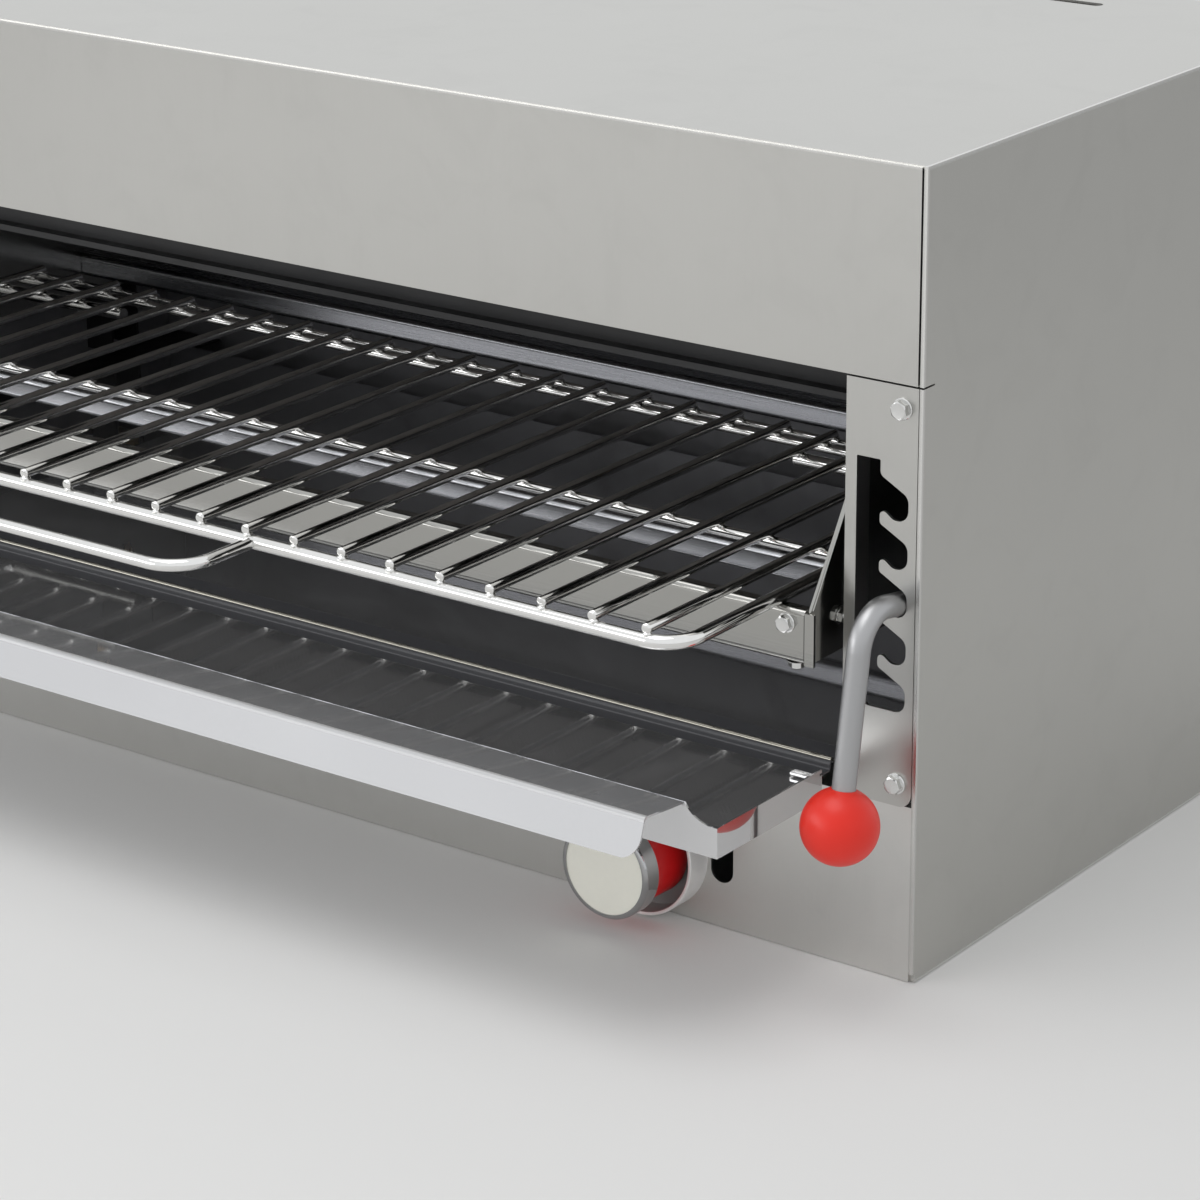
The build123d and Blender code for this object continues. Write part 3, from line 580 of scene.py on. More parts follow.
@dataclass(frozen=True)
class RingFinish(Recipe):
    """Pale satin ring whose inner wall is painted dark as shade."""

    # Painted shade: the colour of the ring's inner wall.
    inner_wall_shade: Colour
    axis_spot: Place = (0.2868, 0.0, 0.0384)
    inner_radius: float = 0.0350
    wall_edge: float = 0.0003
    rough: Span = (0.32, 0.40)
    metal: float = 0.15
    fineness: float = 300.0
    swing: float = 0.05
    relief: float = 0.01
    depth: float = 0.0003

    def wire(self, bench: Bench) -> None:
        """Wires the satin, with painted shade on the inner wall. The inner wall is told by its distance from
        the knob's axis, which runs along y.

        Args:
            bench: the material being wired.
        """
        streak, _ = bench.grain(Lay.EVEN, self.fineness)
        centred = reckon_vector(bench.tree, "SUBTRACT", bench.place, self.axis_spot)
        flat = reckon_vector(bench.tree, "MULTIPLY", centred, (1.0, 0.0, 1.0))
        away = add_node(bench.tree, "ShaderNodeVectorMath", {0: flat}, operation="LENGTH").outputs["Value"]
        shaded_wall_mask = bench.span(away, 1.0, 0.0, self.inner_radius - self.wall_edge, self.inner_radius)
        bench.finish({
            "Base Color": bench.blend(shaded_wall_mask, bench.tone(self.colour, streak, self.swing), self.inner_wall_shade),
            "Roughness": bench.span(streak, *self.rough),
            "Metallic": self.metal,
        }, streak, self.relief, self.depth)


@dataclass(frozen=True)
class Strip:
    """A stretch of the pan between two depths and two heights, in metres."""

    deep: Span
    high: Span
    soft: float = 0.00005

    def mask(self, bench: Bench, deep: NodeSocket, high: NodeSocket) -> NodeSocket:
        """A mask that holds on the strip, from the depth and height on the pan."""
        along = bench.within(deep, *self.deep, self.soft)
        return bench.both(along, bench.within(high, *self.high, self.soft))


@dataclass(frozen=True)
class PanFinish(Recipe):
    """Bright pan sheet: mirror grain under a thin haze, dark matt strips round the step that are both greasy
    and painted shade, a hem tinted as a painted reflection, and a lip fold painted darker over its highlight.
    """

    rough: Span
    metal: float
    lip_metal: float = 0.68
    lip_start: float = -0.3260
    lip_soft: float = 0.0002
    # Painted shade with grease: the dark matt colour of the step, its foot and the hem's back, matched to the
    # shaded tray beside them.
    grease_shade: Colour = (0.060, 0.061, 0.066)
    # Painted reflection: the hem is tinted the warm cream of the bright line it catches.
    hem_reflection_tint: Colour = (0.30, 0.285, 0.25)
    # Painted shade: the lip's fold is darker and rougher to tone down the highlight its bend catches.
    fold_shade: Colour = (0.47, 0.47, 0.475)
    fold_rough: float = 0.45
    step: Strip = Strip((-0.2245, -0.2200), (0.1120, 0.1168))
    foot: Strip = Strip((-0.2316, -0.2200), (0.1115, 0.1128))
    behind: Strip = Strip((-0.2179, -0.2015), (0.1160, 0.1210))
    hem: Strip = Strip((-0.2200, -0.2179), (0.1160, 0.1210))
    fold: Strip = Strip((-0.3613, -0.3582), (0.1253, 0.1285))
    film: Span = (1.02, 0.97)
    fineness: float = 700.0
    mark_size: float = 14.0
    swing: float = 0.24
    relief: float = 0.004
    depth: float = 0.0003

    def wire(self, bench: Bench) -> None:
        """Wires the sheet. Dark matt strips, greasy and painted shade both, cover the step, its foot and the
        hem's back; the hem is tinted as a painted reflection; the lip's fold is painted darker and made rough
        to tone down its highlight.

        Args:
            bench: the material being wired.
        """
        streak, cloud = bench.grain(Lay.ACROSS, self.fineness)
        axes = add_node(bench.tree, "ShaderNodeSeparateXYZ", {0: bench.place}).outputs
        deep, high = axes["Y"], axes["Z"]
        strips = (self.step, self.foot, self.behind, self.hem, self.fold)
        step, foot, behind, hem, fold = (strip.mask(bench, deep, high) for strip in strips)
        # Mask of the strips that take the dark matt colour, painted shade and grease.
        grease_shade_mask = bench.higher(bench.higher(step, foot), behind)
        grease_shaded_colour = bench.blend(grease_shade_mask, bench.tone(self.colour, cloud, self.swing), self.grease_shade)
        hazed = bench.weigh(bench.marks(self.mark_size), *self.film)
        start, stop = self.lip_start - self.lip_soft, self.lip_start + self.lip_soft
        bare = bench.both(hazed, bench.span(deep, self.lip_metal, self.metal, start, stop))
        dull = bench.weigh(bench.higher(grease_shade_mask, fold), 0.0, self.fold_rough)
        bench.finish({
            "Base Color": bench.blend(fold, bench.blend(hem, grease_shaded_colour, self.hem_reflection_tint), self.fold_shade),
            "Metallic": bench.both(bare, bench.weigh(grease_shade_mask, 1.0, 0.0)),
            "Roughness": bench.higher(bench.span(streak, *self.rough), dull),
        }, streak, self.relief, self.depth)


@dataclass(frozen=True)
class DarkSheetFinish(Recipe):
    """Dull dark sheet with patches of soot. On the liners, posts, tracks and burner the dark colour is
    painted shade for the dim inside of the cabinet; on the pipe it is the pipe's own black.
    """

    soot: Colour
    rough: Span
    metal: float = 0.35
    fineness: float = 60.0
    mark_size: float = 9.0
    swing: float = 0.5
    relief: float = 0.08
    depth: float = 0.0006

    def wire(self, bench: Bench) -> None:
        """Wires a cloudy sheet with patches of soot.

        Args:
            bench: the material being wired.
        """
        streak, cloud = bench.grain(Lay.EVEN, self.fineness)
        sheet = bench.tone(self.colour, cloud, self.swing)
        bench.finish({
            "Base Color": bench.blend(bench.marks(self.mark_size), sheet, self.soot),
            "Roughness": bench.span(streak, *self.rough),
            "Metallic": self.metal,
        }, streak, self.relief, self.depth)


@dataclass(frozen=True)
class PlasticFinish(Recipe):
    """Moulded glossy plastic with faint flow and fine surface waviness."""

    rough: Span
    coat: float
    coat_rough: float = 0.12
    fineness: float = 70.0
    mark_size: float = 60.0
    swing: float = 0.10
    relief: float = 0.03
    depth: float = 0.0003

    def wire(self, bench: Bench) -> None:
        """Wires the flow into the colour and the marks into the gloss.

        Args:
            bench: the material being wired.
        """
        streak, cloud = bench.grain(Lay.EVEN, self.fineness)
        bench.finish({
            "Base Color": bench.tone(self.colour, cloud, self.swing),
            "Roughness": bench.weigh(bench.marks(self.mark_size), *self.rough),
            "Coat Weight": self.coat,
            "Coat Roughness": self.coat_rough,
        }, streak, self.relief, self.depth)


@dataclass(frozen=True)
class CeramicFinish(Recipe):
    """Perforated ceramic burner tile: rows of small ports, painted dark as the shade inside them, in a pale
    matt body.
    """

    # Painted shade: the colour of the ports.
    shaded_port: Colour
    pitch: float = 0.0042
    port_edge: Span = (0.20, 0.27)
    rough: Span = (0.75, 0.92)
    fineness: float = 120.0
    swing: float = 0.35
    relief: float = 0.5
    depth: float = 0.0008

    def wire(self, bench: Bench) -> None:
        """Wires the body. Ports are cells of a regular Voronoi pattern, painted dark near each cell's centre
        as the shade in the holes.

        Args:
            bench: the material being wired.
        """
        flat = reckon_vector(bench.tree, "MULTIPLY", bench.place, (1.0, 1.0, 0.0))
        cells = add_node(bench.tree, "ShaderNodeTexVoronoi", {
            "Vector": flat, "Scale": 1 / self.pitch, "Randomness": 0.0}, voronoi_dimensions="2D")
        shaded_port = bench.span(cells.outputs["Distance"], 1.0, 0.0, *self.port_edge)
        streak, cloud = bench.grain(Lay.EVEN, self.fineness)
        bench.finish({
            "Base Color": bench.blend(shaded_port, bench.tone(self.colour, cloud, self.swing), self.shaded_port),
            "Roughness": bench.span(streak, *self.rough),
        }, bench.weigh(shaded_port, 1.0, 0.0), self.relief, self.depth)


class Finish(Enum):
    """The finishes found on the grill."""

    FRONT_SHEET = SheetFinish("satin_front_sheet", (0.50, 0.495, 0.475), (0.29, 0.33))
    SIDE_SHEET = SheetFinish("satin_side_sheet", (0.505, 0.500, 0.477), (0.31, 0.36))
    # Painted light: the control panel is the front sheet made lighter, to make up for the pan's shadow on it
    # and the shaded floor it mirrors.
    CONTROL_SHEET_LIT = SheetFinish("satin_control_sheet_painted_light", (0.66, 0.655, 0.635), (0.34, 0.39))
    RAIL_SHEET = SteelFinish("bright_rail_sheet", (0.385, 0.381, 0.362), (0.12, 0.19), Lay.ACROSS)
    # Painted reflection: the mid rail is the rail sheet made lighter and bluish, for the pan that its face
    # mirrors.
    MID_RAIL = SteelFinish("mid_rail_sheet_painted_reflection", (0.46, 0.465, 0.485), (0.20, 0.28), Lay.ACROSS)
    # Painted shade: the rear rail is the rail sheet made darker and a little bluish, for the shade under the
    # hood.
    REAR_RAIL = SteelFinish("rear_rail_sheet_painted_shade", (0.225, 0.228, 0.242), (0.24, 0.30), Lay.ACROSS, 500.0, 0.03,
                            0.03, relief=0.01)
    PAN_SHEET = PanFinish("bright_pan_sheet", (0.63, 0.63, 0.638), (0.02, 0.045), 0.86)
    # Painted shade: the liners, posts, runners, tracks and burner get near-black and dark grey colours for
    # the dim inside of the cabinet; the soot patches over them are soot.
    BACK_LINER = DarkSheetFinish("back_liner", (0.205, 0.206, 0.218), (0.125, 0.124, 0.128), (0.45, 0.60), 0.2)
    SHADED_LINER = DarkSheetFinish("liner_painted_shade", (0.022, 0.021, 0.021), (0.010, 0.010, 0.010), (0.42, 0.60))
    SHADED_BURNER = DarkSheetFinish("burner_painted_shade", (0.022, 0.022, 0.023), (0.016, 0.015, 0.015), (0.36, 0.52))
    CERAMIC = CeramicFinish("burner_ceramic", (0.37, 0.35, 0.335), (0.29, 0.275, 0.26))
    CHROME = SteelFinish("rack_chrome", (0.78, 0.775, 0.76), (0.05, 0.11), Lay.EVEN, 400.0, 0.05, 0.10)
    LEVER = SteelFinish("satin_lever", (0.40, 0.40, 0.405), (0.36, 0.45), Lay.EVEN, 700.0, 0.08)
    # Painted shade: the knob's chrome is darker than the rack's, for the dark surroundings its sides mirror.
    KNOB_CHROME_SHADED = SteelFinish("knob_chrome_painted_dark", (0.42, 0.42, 0.426), (0.05, 0.09), Lay.EVEN, 500.0, 0.04, 0.05)
    # Painted reflection: the knob's face is a pale cream, nearly matt sheet for the cream surroundings that
    # its chrome mirrors.
    KNOB_FACE = SteelFinish("knob_face_painted_reflection", (0.88, 0.87, 0.785), (0.28, 0.36), Lay.EVEN, 300.0, 0.05, 0.05,
                            relief=0.01, metal=0.15)
    RING = RingFinish("knob_ring_satin_shaded_wall", (0.90, 0.90, 0.89), (0.34, 0.34, 0.335))
    ZINC = SteelFinish("zinc_plate", (0.68, 0.68, 0.67), (0.10, 0.18), Lay.EVEN, 260.0, 0.12, 0.10)
    BRASS = SteelFinish("turned_brass", (0.62, 0.47, 0.23), (0.24, 0.36), Lay.EVEN, 500.0, 0.12, 0.2,
                        (0.30, 0.22, 0.12))
    BLACK_PIPE = DarkSheetFinish("black_pipe", (0.035, 0.035, 0.036), (0.02, 0.02, 0.02), (0.40, 0.60), 0.4)
    ALUMINIUM = SteelFinish("mill_aluminium", (0.66, 0.66, 0.67), (0.30, 0.40), Lay.ACROSS)
    BALL_RED = PlasticFinish("ball_red", (0.75, 0.018, 0.006), (0.40, 0.52), 0.06)
    SKIRT_RED = PlasticFinish("skirt_red", (0.72, 0.011, 0.013), (0.32, 0.42), 0.1)


@dataclass
class FinishShop:
    """Makes each finish once and lays it on pieces."""

    groups: ShaderGroups = field(default_factory=ShaderGroups)
    made: dict[Finish, Material] = field(default_factory=dict)

    def material(self, finish: Finish) -> Material:
        """The material of a finish, made on first use.

        Args:
            finish: the finish.

        Returns:
            The material.
        """
        if finish not in self.made:
            self.made[finish] = finish.value.make(self.groups)
        return self.made[finish]

    def dress(self, piece: Object, finish: Finish) -> None:
        """Puts one finish on a piece.

        Args:
            piece: the piece.
            finish: its finish.
        """
        piece.data.materials.clear()
        piece.data.materials.append(self.material(finish))
        LOG.info("%s in %s", piece.name, finish.value.name)

    def dress_nodes(self, finish: Finish, *names: str) -> None:
        """Puts one finish on CAD nodes by name."""
        for name in names:
            self.dress(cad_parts[name], finish)

    def add(self, piece: Object, finish: Finish, body: str, slot: str, *stands_for: str) -> None:
        """Dresses a new piece, lets it ride on a body and hides the CAD nodes that it replaces.

        Args:
            piece: the new piece.
            finish: its finish.
            body: the body it moves with.
            slot: name of a material slot; not used.
            stands_for: CAD nodes that it replaces.
        """
        self.dress(piece, finish)
        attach(piece, body)
        if stands_for:
            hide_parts(*stands_for)


# Sub-assemblies


@dataclass
class Cabinet:
    """Sheet-steel cabinet, liners, burner and gas line."""

    outer: tuple[str, ...] = ("side_panel_left", "side_panel_right", "back_panel", "top_panel")
    fronts: tuple[str, ...] = ("upper_front_panel", "notch_plate", "plain_plate", "base_panel")
    inner: tuple[str, ...] = ("corner_post_left", "corner_post_right", "pan_runner_left", "pan_runner_right",
                              "rack_track_left", "rack_track_right")

    def dress(self, shop: FinishShop) -> None:
        """Lays the cabinet's finishes.

        Args:
            shop: the shop that makes the finishes.
        """
        shop.dress_nodes(Finish.SIDE_SHEET, *self.outer)
        shop.dress_nodes(Finish.FRONT_SHEET, *self.fronts)
        shop.dress_nodes(Finish.CONTROL_SHEET_LIT, "control_panel")
        # Painted shade: these inner parts are darkened for the dim inside of the cabinet.
        shop.dress_nodes(Finish.BACK_LINER, "side_liner_left", "side_liner_right", "back_liner")
        shop.dress_nodes(Finish.SHADED_LINER, *self.inner)
        shop.dress_nodes(Finish.SHADED_BURNER, "burner_body", "burner_hangers")
        shop.dress_nodes(Finish.CERAMIC, "burner_tiles")
        shop.dress_nodes(Finish.BRASS, "gas_valve", "gas_inlet")
        shop.dress_nodes(Finish.BLACK_PIPE, "gas_pipe")
        shop.dress_nodes(Finish.ALUMINIUM, "feed_tube")


@dataclass
class Fasteners:
    """Bolts on the upright plates, bolts and nuts on the rack and screws round the back panel.

    Lengths are in metres, creases and plate turns in degrees, and the rail turn is in radians.
    """

    across_flats: float = 0.0100
    head: float = 0.0044
    chamfer_share: float = 0.93
    bevel_share: float = 0.55
    dish_share: float = 0.72
    dish: Span = (0.00012, 0.00016)
    washer_radius: float = 0.0066
    washer: float = 0.0012
    washer_foot: Span = (0.0002, 0.0003)
    washer_roll: Span = (0.0005, 0.0004)
    columns: int = 60
    crease: float = 25.0
    plate_share: float = 0.88
    plate_turns: tuple[float, ...] = (8.0, 22.0, 14.0, 3.0)
    rail_share: float = 0.80
    rail_turn: float = 0.3
    rail_bolt: Place = (0.3912, -0.2435, 0.1987)
    cheek_nut: Place = (0.4040, -0.2120, 0.1963)
    stop_nut: Place = (0.3940, -0.2375, 0.1767)
    nut_flats: float = 0.0080
    nut_height: float = 0.0050
    nut_share: float = 0.75
    nut_washer_share: float = 0.5
    stem_share: float = 0.29
    stem_foot_share: float = 0.6
    stem_tip_share: float = 0.8
    stem_round: float = 0.0006
    stem_columns: int = 24
    screw_radius: float = 0.0042
    screw_height: float = 0.0024
    screw_shares: tuple[Span, ...] = ((0.0, -0.2), (1.0, -0.2), (1.0, 0.3), (0.93, 0.62), (0.70, 0.88),
                                      (0.42, 1.0), (0.38, 0.92), (0.26, 0.45), (0.0, 0.40))
    screw_inset: float = 0.0130
    screw_row: int = 6
    screw_column: int = 4
    screw_columns: int = 32
    screw_crease: float = 40.0

    def head_surface(self, across_flats: float, low: float, high: float) -> Surface:
        """A chamfered hexagon head about local z.

        Formula: the side's radius is half the width over the cosine of the angle from the nearest flat's
        middle. The top edge drops by a share of the amount by which that radius passes the chamfer circle,
        and the top is dished inside a smaller circle.

        Args:
            across_flats: width between flats.
            low: height of the seat.
            high: height of the top.

        Returns:
            Points and quads.
        """
        flat, sector = across_flats / 2, math.pi / 3
        turn = np.mod(ring_angles(self.columns) + sector / 2, sector) - sector / 2
        side = flat / np.cos(turn)
        ring = np.full_like(side, flat * self.chamfer_share)
        foot, level = np.full_like(side, low), np.full_like(side, high)
        edge = high - self.bevel_share * (side - ring)
        radius = np.stack([side * 0, side, side, ring, ring * self.dish_share, ring * 0])
        height = np.stack([foot, foot, edge, level, level - self.dish[0], level - self.dish[1]])
        return rings(radius, height)

    def washer_surface(self) -> Surface:
        """A plain washer with rolled edges: a lathe of a flat-topped profile.

        Returns:
            Points and quads.
        """
        r, t = self.washer_radius, self.washer
        (foot_in, foot_up), (roll_in, roll_down) = self.washer_foot, self.washer_roll
        profile = [(0, 0), (r - foot_in, 0), (r, foot_up), (r, t - roll_down), (r - roll_in, t), (0, t)]
        return lathe(np.array(profile), self.columns)

    def bolt(self, share: float) -> Surface:
        """A washer with a head on it.

        Args:
            share: size of this bolt by the full one.

        Returns:
            Points and quads.
        """
        head = self.head_surface(self.across_flats, self.washer, self.washer + self.head)
        points, quads = join_surfaces(self.washer_surface(), head)
        return points * share, quads

    def nut(self) -> Surface:
        """A nut with the rounded end of its screw standing out.

        Formula: a washer scaled to the nut, a chamfered hexagon, and a lathe of a short stem that rounds over
        to the axis.

        Returns:
            Points and quads of the three.
        """
        wide = self.nut_flats / self.across_flats
        thin = wide * self.nut_washer_share
        points, quads = self.washer_surface()
        head = self.head_surface(self.nut_flats, self.washer * thin, self.nut_height * self.nut_share)
        r, top = self.nut_flats * self.stem_share, self.nut_height
        low = top * self.stem_foot_share
        stem = [(0, low), (r, low), (r, top - self.stem_round), (r * self.stem_tip_share, top), (0, top)]
        washer = points * np.array([wide, wide, thin]), quads
        return join_surfaces(washer, head, lathe(np.array(stem), self.stem_columns))

    def rack_fasteners(self) -> Object:
        """Two rail bolts facing the front, two cheek nuts facing the sides and two stop nuts facing down.

        Returns:
            One object with all six.
        """
        turned = RIGHTWARD * math.cos(self.rail_turn) + UPWARD * math.sin(self.rail_turn)
        outward = mirror_pair(RIGHTWARD)
        pairs = (
            (self.bolt(self.rail_share), self.rail_bolt, axes_from(-BACKWARD, turned)),
            (self.nut(), self.cheek_nut, axes_from(outward, BACKWARD)),
            (self.nut(), self.stop_nut, axes_from(-UPWARD, outward)),
        )
        placed = [copy_surface(local, mirror_pair(spot), frames) for local, spot, frames in pairs]
        return build_mesh("rack_bolt_heads", join_surfaces(*placed), self.crease)

    def back_screws(self) -> Object:
        """Pan-head screws round the rear panel.

        Formula: each head is a lathe of a low dome with a sunk drive. The seats are evenly spaced rows set in
        from the panel's edges.

        Returns:
            One object with all the screws.
        """
        low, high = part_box("back_panel")
        left, right = low.x + self.screw_inset, high.x - self.screw_inset
        bottom, top = low.z + self.screw_inset, high.z - self.screw_inset
        row = np.linspace(left, right, self.screw_row)
        column = np.linspace(bottom, top, self.screw_column)[1:-1]
        xs = np.r_[row, row, np.full_like(column, left), np.full_like(column, right)]
        zs = np.r_[np.full_like(row, bottom), np.full_like(row, top), column, column]
        seats = np.stack([xs, np.full_like(xs, high.y), zs], -1)
        profile = np.array(self.screw_shares) * np.array([self.screw_radius, self.screw_height])
        head = lathe(profile, self.screw_columns)
        screws = copy_surface(head, seats, axes_from(BACKWARD, RIGHTWARD))
        return build_mesh("back_panel_screws", screws, self.screw_crease)

    def plate_bolts(self) -> Object:
        """A bolt near each end of both upright plates, each turned a little differently.

        Returns:
            One object with all four.
        """
        low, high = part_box("plate_bolts")
        edge, front = self.washer_radius, low.y + self.washer + self.head
        xs = np.repeat([high.x - edge, low.x + edge], 2)
        zs = np.tile([high.z - edge, low.z + edge], 2)
        seats = np.stack([xs, np.full_like(xs, front), zs], -1)
        turns = np.radians(self.plate_turns)[:, None]
        across = RIGHTWARD * np.cos(turns) + UPWARD * np.sin(turns)
        bolts = copy_surface(self.bolt(self.plate_share), seats, axes_from(-BACKWARD, across))
        return build_mesh("plate_bolt_heads", bolts, self.crease)

    def dress(self, shop: FinishShop) -> None:
        """Builds the screws, and the bolts and nuts in place of their plain solids.

        Args:
            shop: the shop that makes the finishes.
        """
        shop.add(self.rack_fasteners(), Finish.ZINC, "carriage", "zinc", "rack_bolts")
        shop.add(self.back_screws(), Finish.ZINC, "cabinet", "zinc")
        shop.add(self.plate_bolts(), Finish.ZINC, "cabinet", "zinc", "plate_bolts")


@dataclass
class Rack:
    """Lifting rack: rails, cheeks, guides and the sprung lever with its ball."""

    bright: tuple[str, ...] = ("front_rail", "rack_cheek_left", "rack_cheek_right")

    def dress(self, shop: FinishShop) -> None:
        """Lays the rack's finishes.

        Args:
            shop: the shop that makes the finishes.
        """
        shop.dress_nodes(Finish.RAIL_SHEET, *self.bright)
        # The mid rail's finish carries a painted reflection tint.
        shop.dress_nodes(Finish.MID_RAIL, "mid_rail")
        # The rear rail's finish carries painted shade.
        shop.dress_nodes(Finish.REAR_RAIL, "rear_rail")
        shop.dress_nodes(Finish.BRASS, "guide_shoes_left", "guide_shoes_right")
        shop.dress_nodes(Finish.SHADED_LINER, "handle_bracket")
        shop.dress_nodes(Finish.LEVER, "handle_lever")
        shop.dress_nodes(Finish.BALL_RED, "handle_ball")


@dataclass
class Grid:
    """Chromed wire grid: cropped wires welded over the frame rod and the cross rods."""

    wires: int = 23
    columns: int = 20
    tip: float = 0.0016
    tip_share: float = 0.3
    plain_start: float = 0.02
    end_shares: tuple[float, ...] = (0.0, 0.72, 0.94, 1.0, 1.0)
    lean_shares: tuple[float, ...] = (1.0, 1.0, 1.0, 0.8, 0.0)
    lean: Span = (-0.18, 0.30)
    wire_crease: float = 50.0
    seed: int = 11
    bead_half: Place = (0.0030, 0.0036, 0.0014)
    bead_size: Span = (0.8, 1.1)
    bead_rings: int = 7
    bead_columns: int = 12
    bead_crease: float = 60.0
    frame_line: float = -0.3340
    rod_lines: tuple[float, ...] = (-0.1740, -0.0195, -0.0085)

    def wire_ends(self) -> tuple[np.ndarray, float, float, float, float]:
        """Reads the wires' places from their solids.

        Returns:
            The wires' x places, their z, their radius and their front and rear ends.
        """
        low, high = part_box("grid_wires")
        radius = (high.z - low.z) / 2
        xs = np.linspace(low.x + radius, high.x - radius, self.wires)
        return xs, (high.z + low.z) / 2, radius, low.y, high.y

    def build_wires(self) -> Object:
        """Straight wires with cropped ends.

        Formula: rings of the wire's radius along y. The last rings shrink over the tip, and the front end
        leans by a small seeded amount, because the wires are cropped by shears: y moves by lean times the
        height below the wire's top, and never past the front.

        Returns:
            One object with all the wires.
        """
        xs, z, radius, front, rear = self.wire_ends()
        angle = ring_angles(self.columns)
        share, weight = np.array(self.end_shares), np.array(self.lean_shares)
        inward = np.array([0.0, 0.0, self.tip * self.tip_share, self.tip, self.plain_start])
        run = np.r_[front + inward, rear - inward[::-1]]
        lean = np.random.default_rng(self.seed).uniform(*self.lean, self.wires)[:, None, None]
        shape = (self.wires, len(run), self.columns)
        r = radius * np.r_[share, share[::-1]][:, None]
        height = np.broadcast_to(r * np.sin(angle), shape)
        x = np.broadcast_to(xs[:, None, None] + r * np.cos(angle), shape)
        y = run[:, None] - lean * np.r_[weight, np.zeros_like(weight)][:, None] * (height - radius)
        points = np.stack([x, np.maximum(y, front), z + height], -1).reshape(-1, 3)
        quads = grid_quads(len(run), self.columns)
        wires = points, repeat_quads(quads, len(run) * self.columns, self.wires)
        return build_mesh("rack_wires", wires, self.wire_crease)

    def build_beads(self) -> Object:
        """Weld beads under each wire where it crosses a rod.

        Formula: flattened balls, half sizes times (cos a sin b, sin a sin b, cos b), each scaled by a seeded
        share.

        Returns:
            One object with all the beads.
        """
        xs, z, radius, _, _ = self.wire_ends()
        lines = np.array([self.frame_line, *self.rod_lines])
        seats = np.stack(np.meshgrid(xs, lines, [z - radius], indexing="ij"), -1).reshape(-1, 3)
        b = np.linspace(0, math.pi, self.bead_rings)
        unit, quads = lathe(np.stack([np.sin(b), np.cos(b)], -1), self.bead_columns)
        size = np.random.default_rng(self.seed).uniform(*self.bead_size, len(seats))
        beads = copy_surface((unit * np.array(self.bead_half), quads), seats, size[:, None, None] * np.eye(3))
        return build_mesh("weld_beads", beads, self.bead_crease)

    def dress(self, shop: FinishShop) -> None:
        """Builds the wires and beads and lays the chrome.

        Args:
            shop: the shop that makes the finishes.
        """
        shop.dress_nodes(Finish.CHROME, "grid_frame", "cross_rods", "grid_pull")
        shop.add(self.build_wires(), Finish.CHROME, "grid", "chrome", "grid_wires")
        shop.add(self.build_beads(), Finish.CHROME, "grid", "chrome")


@dataclass
class DripPan:
    """Pull-out pan with its trough and grip lip."""

    sheet: str = "drip_pan"

    def dress(self, shop: FinishShop) -> None:
        """Lays the pan's finish."""
        shop.dress_nodes(Finish.PAN_SHEET, self.sheet)


@dataclass
class GasKnob:
    """Chromed knob with a smooth red sleeve in its fixed ring."""

    flare: float = 0.0006
    rim: float = 0.0005
    rows: int = 17
    columns: int = 96
    crease: float = 40.0

    def build_sleeve(self) -> Object:
        """The red sleeve between the cap and the ring.

        Formula: a lathe about the knob's axis of a profile that eases in by the flare at mid length and steps
        in by the rim at both ends.

        Returns:
            The sleeve, at the skirt's place.
        """
        low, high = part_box("knob_skirt")
        radius, length = (high.x - low.x) / 2, high.y - low.y
        share = np.linspace(0, 1, self.rows)
        body = radius - self.flare * np.sin(math.pi * share)
        body[[0, -1]] -= self.rim
        profile = np.stack([np.r_[0, body, 0], np.r_[0, share * length, length]], -1)
        seat = np.array([[(low.x + high.x) / 2, high.y, (low.z + high.z) / 2]])
        sleeve = copy_surface(lathe(profile, self.columns), seat, axes_from(-BACKWARD, RIGHTWARD))
        return build_mesh("knob_sleeve", sleeve, self.crease)

    def dress(self, shop: FinishShop) -> None:
        """Builds the sleeve and lays the knob's finishes.

        Args:
            shop: the shop that makes the finishes.
        """
        shop.dress_nodes(Finish.KNOB_CHROME_SHADED, "knob_cap")
        shop.dress_nodes(Finish.RING, "knob_bezel")
        shop.dress_nodes(Finish.KNOB_FACE, "knob_face")
        shop.dress_nodes(Finish.ZINC, "valve_stem")
        shop.add(self.build_sleeve(), Finish.SKIRT_RED, "knob", "dark_red", "knob_skirt")


# Studio


@dataclass(frozen=True)
class Lamp:
    """A soft box: its sides in metres, its power in watts, where it hangs and the point it faces.

    Bright metal shows the box itself where mirrored is set.
    """

    name: str
    size: Span
    power: float
    spot: Place
    aim: Place
    mirrored: bool

    def hang(self) -> None:
        """Hangs the box and turns it to its point."""
        light = bpy.data.lights.new(self.name, "AREA")
        light.shape = "RECTANGLE"
        light.size, light.size_y = self.size
        light.energy = self.power
        lamp = stand(self.name, light)
        lamp.location = self.spot
        lamp.visible_glossy = self.mirrored
        lamp.rotation_euler = (Vector(self.aim) - Vector(self.spot)).to_track_quat("-Z", "Y").to_euler()


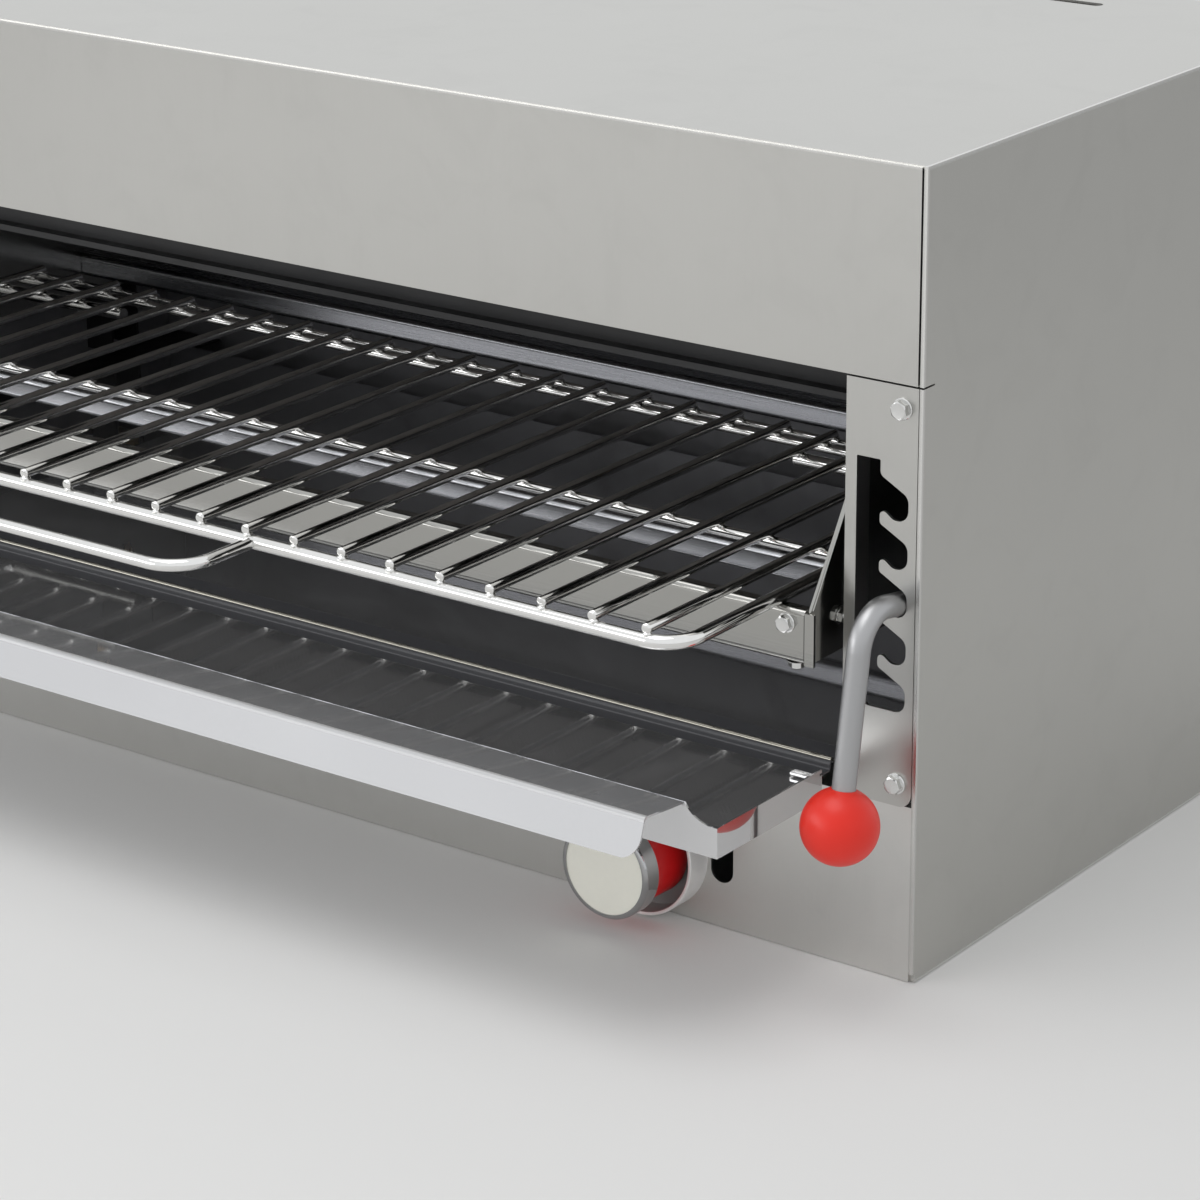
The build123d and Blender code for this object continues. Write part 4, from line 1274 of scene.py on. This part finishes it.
@dataclass
class Studio:
    """Pale floor, soft boxes, even surround and the camera at the viewing angle."""

    floor_half: float = 7.0
    floor_drop: float = 0.0004
    floor_colour: Colour = (0.80, 0.795, 0.785)
    floor_rough: float = 0.9
    floor_shine: float = 0.1
    surround: float = 0.53
    surround_seen: float = 1.0
    surround_colour: Colour = (0.97, 0.985, 1.0)
    lamps: tuple[Lamp, ...] = (
        Lamp("front_box", (2.6, 0.8), 16.0, (-1.6, -2.35, 1.02), (0.0, -0.2, 0.2), True),
        Lamp("front_fill", (2.4, 1.8), 10.5, (-0.6, -2.6, 0.9), (0.0, -0.3, 0.2), False),
        Lamp("right_fill", (1.4, 1.4), 6.5, (2.2, -1.4, 1.0), (0.3, -0.2, 0.1), False),
        Lamp("top_box", (2.2, 1.6), 22.0, (-0.2, -0.7, 2.7), (0.0, -0.3, 0.0), True),
    )
    right: Place = (0.80353, 0.59520, -0.00820)
    up: Place = (-0.19779, 0.27995, 0.93942)
    forward: Place = (-0.56144, 0.75323, -0.34268)
    eye: Place = (1.45492, -1.83324, 0.90875)
    lens: float = 117.75
    sensor: float = 36.0
    frame_size: float = 1200.0
    axis_pixel: float = 599.02

    def floor(self) -> None:
        """Lays the pale floor, a square sheet just under the base."""
        h, z = self.floor_half, -self.floor_drop
        mesh = bpy.data.meshes.new("floor")
        mesh.from_pydata([(-h, -h, z), (h, -h, z), (h, h, z), (-h, h, z)], [], [(0, 1, 2, 3)])
        material = bpy.data.materials.new("floor_paper")
        material.use_nodes = True
        plug(material.node_tree.nodes["Principled BSDF"], {
            "Base Color": opaque(self.floor_colour),
            "Roughness": self.floor_rough,
            "Specular IOR Level": self.floor_shine,
        })
        mesh.materials.append(material)
        piece = stand("floor", mesh)

    def world(self) -> None:
        """Sets an even surround that reads as white behind the object and in bright metal."""
        world = bpy.data.worlds.new("studio")
        bpy.context.scene.world = world
        world.use_nodes = True
        tree = world.node_tree
        ray = add_node(tree, "ShaderNodeLightPath", {}).outputs
        shiny = reckon(tree, "MAXIMUM", ray["Is Glossy Ray"], ray["Is Transmission Ray"])
        seen = reckon(tree, "MAXIMUM", ray["Is Camera Ray"], shiny)
        strength = add_node(tree, "ShaderNodeMix", {
            "Factor": seen, "A": self.surround, "B": self.surround_seen}).outputs["Result"]
        plug(tree.nodes["Background"], {"Color": opaque(self.surround_colour), "Strength": strength})

    def camera(self) -> None:
        """Sets the camera from its measured axes: right, up and the line of sight."""
        view = bpy.data.cameras.new("camera")
        view.lens = self.lens
        view.sensor_width = self.sensor
        view.shift_x = (self.frame_size / 2 - self.axis_pixel) / self.frame_size
        camera = stand("camera", view)
        matrix = Matrix((Vector(self.right), Vector(self.up), -Vector(self.forward))).transposed().to_4x4()
        matrix.translation = self.eye
        camera.matrix_world = matrix
        bpy.context.scene.camera = camera

    def build(self) -> None:
        """Sets the whole studio."""
        self.floor()
        self.world()
        for lamp in self.lamps:
            lamp.hang()
        self.camera()
        bpy.context.scene.view_settings.view_transform = "Standard"


def main() -> None:
    """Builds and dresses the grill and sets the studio."""
    logging.basicConfig(level=logging.INFO, format="%(message)s")
    shop = FinishShop()
    for assembly in (Cabinet(), Fasteners(), Rack(), Grid(), DripPan(), GasKnob()):
        assembly.dress(shop)
    Studio().build()


if __name__ == "__main__":
    main()
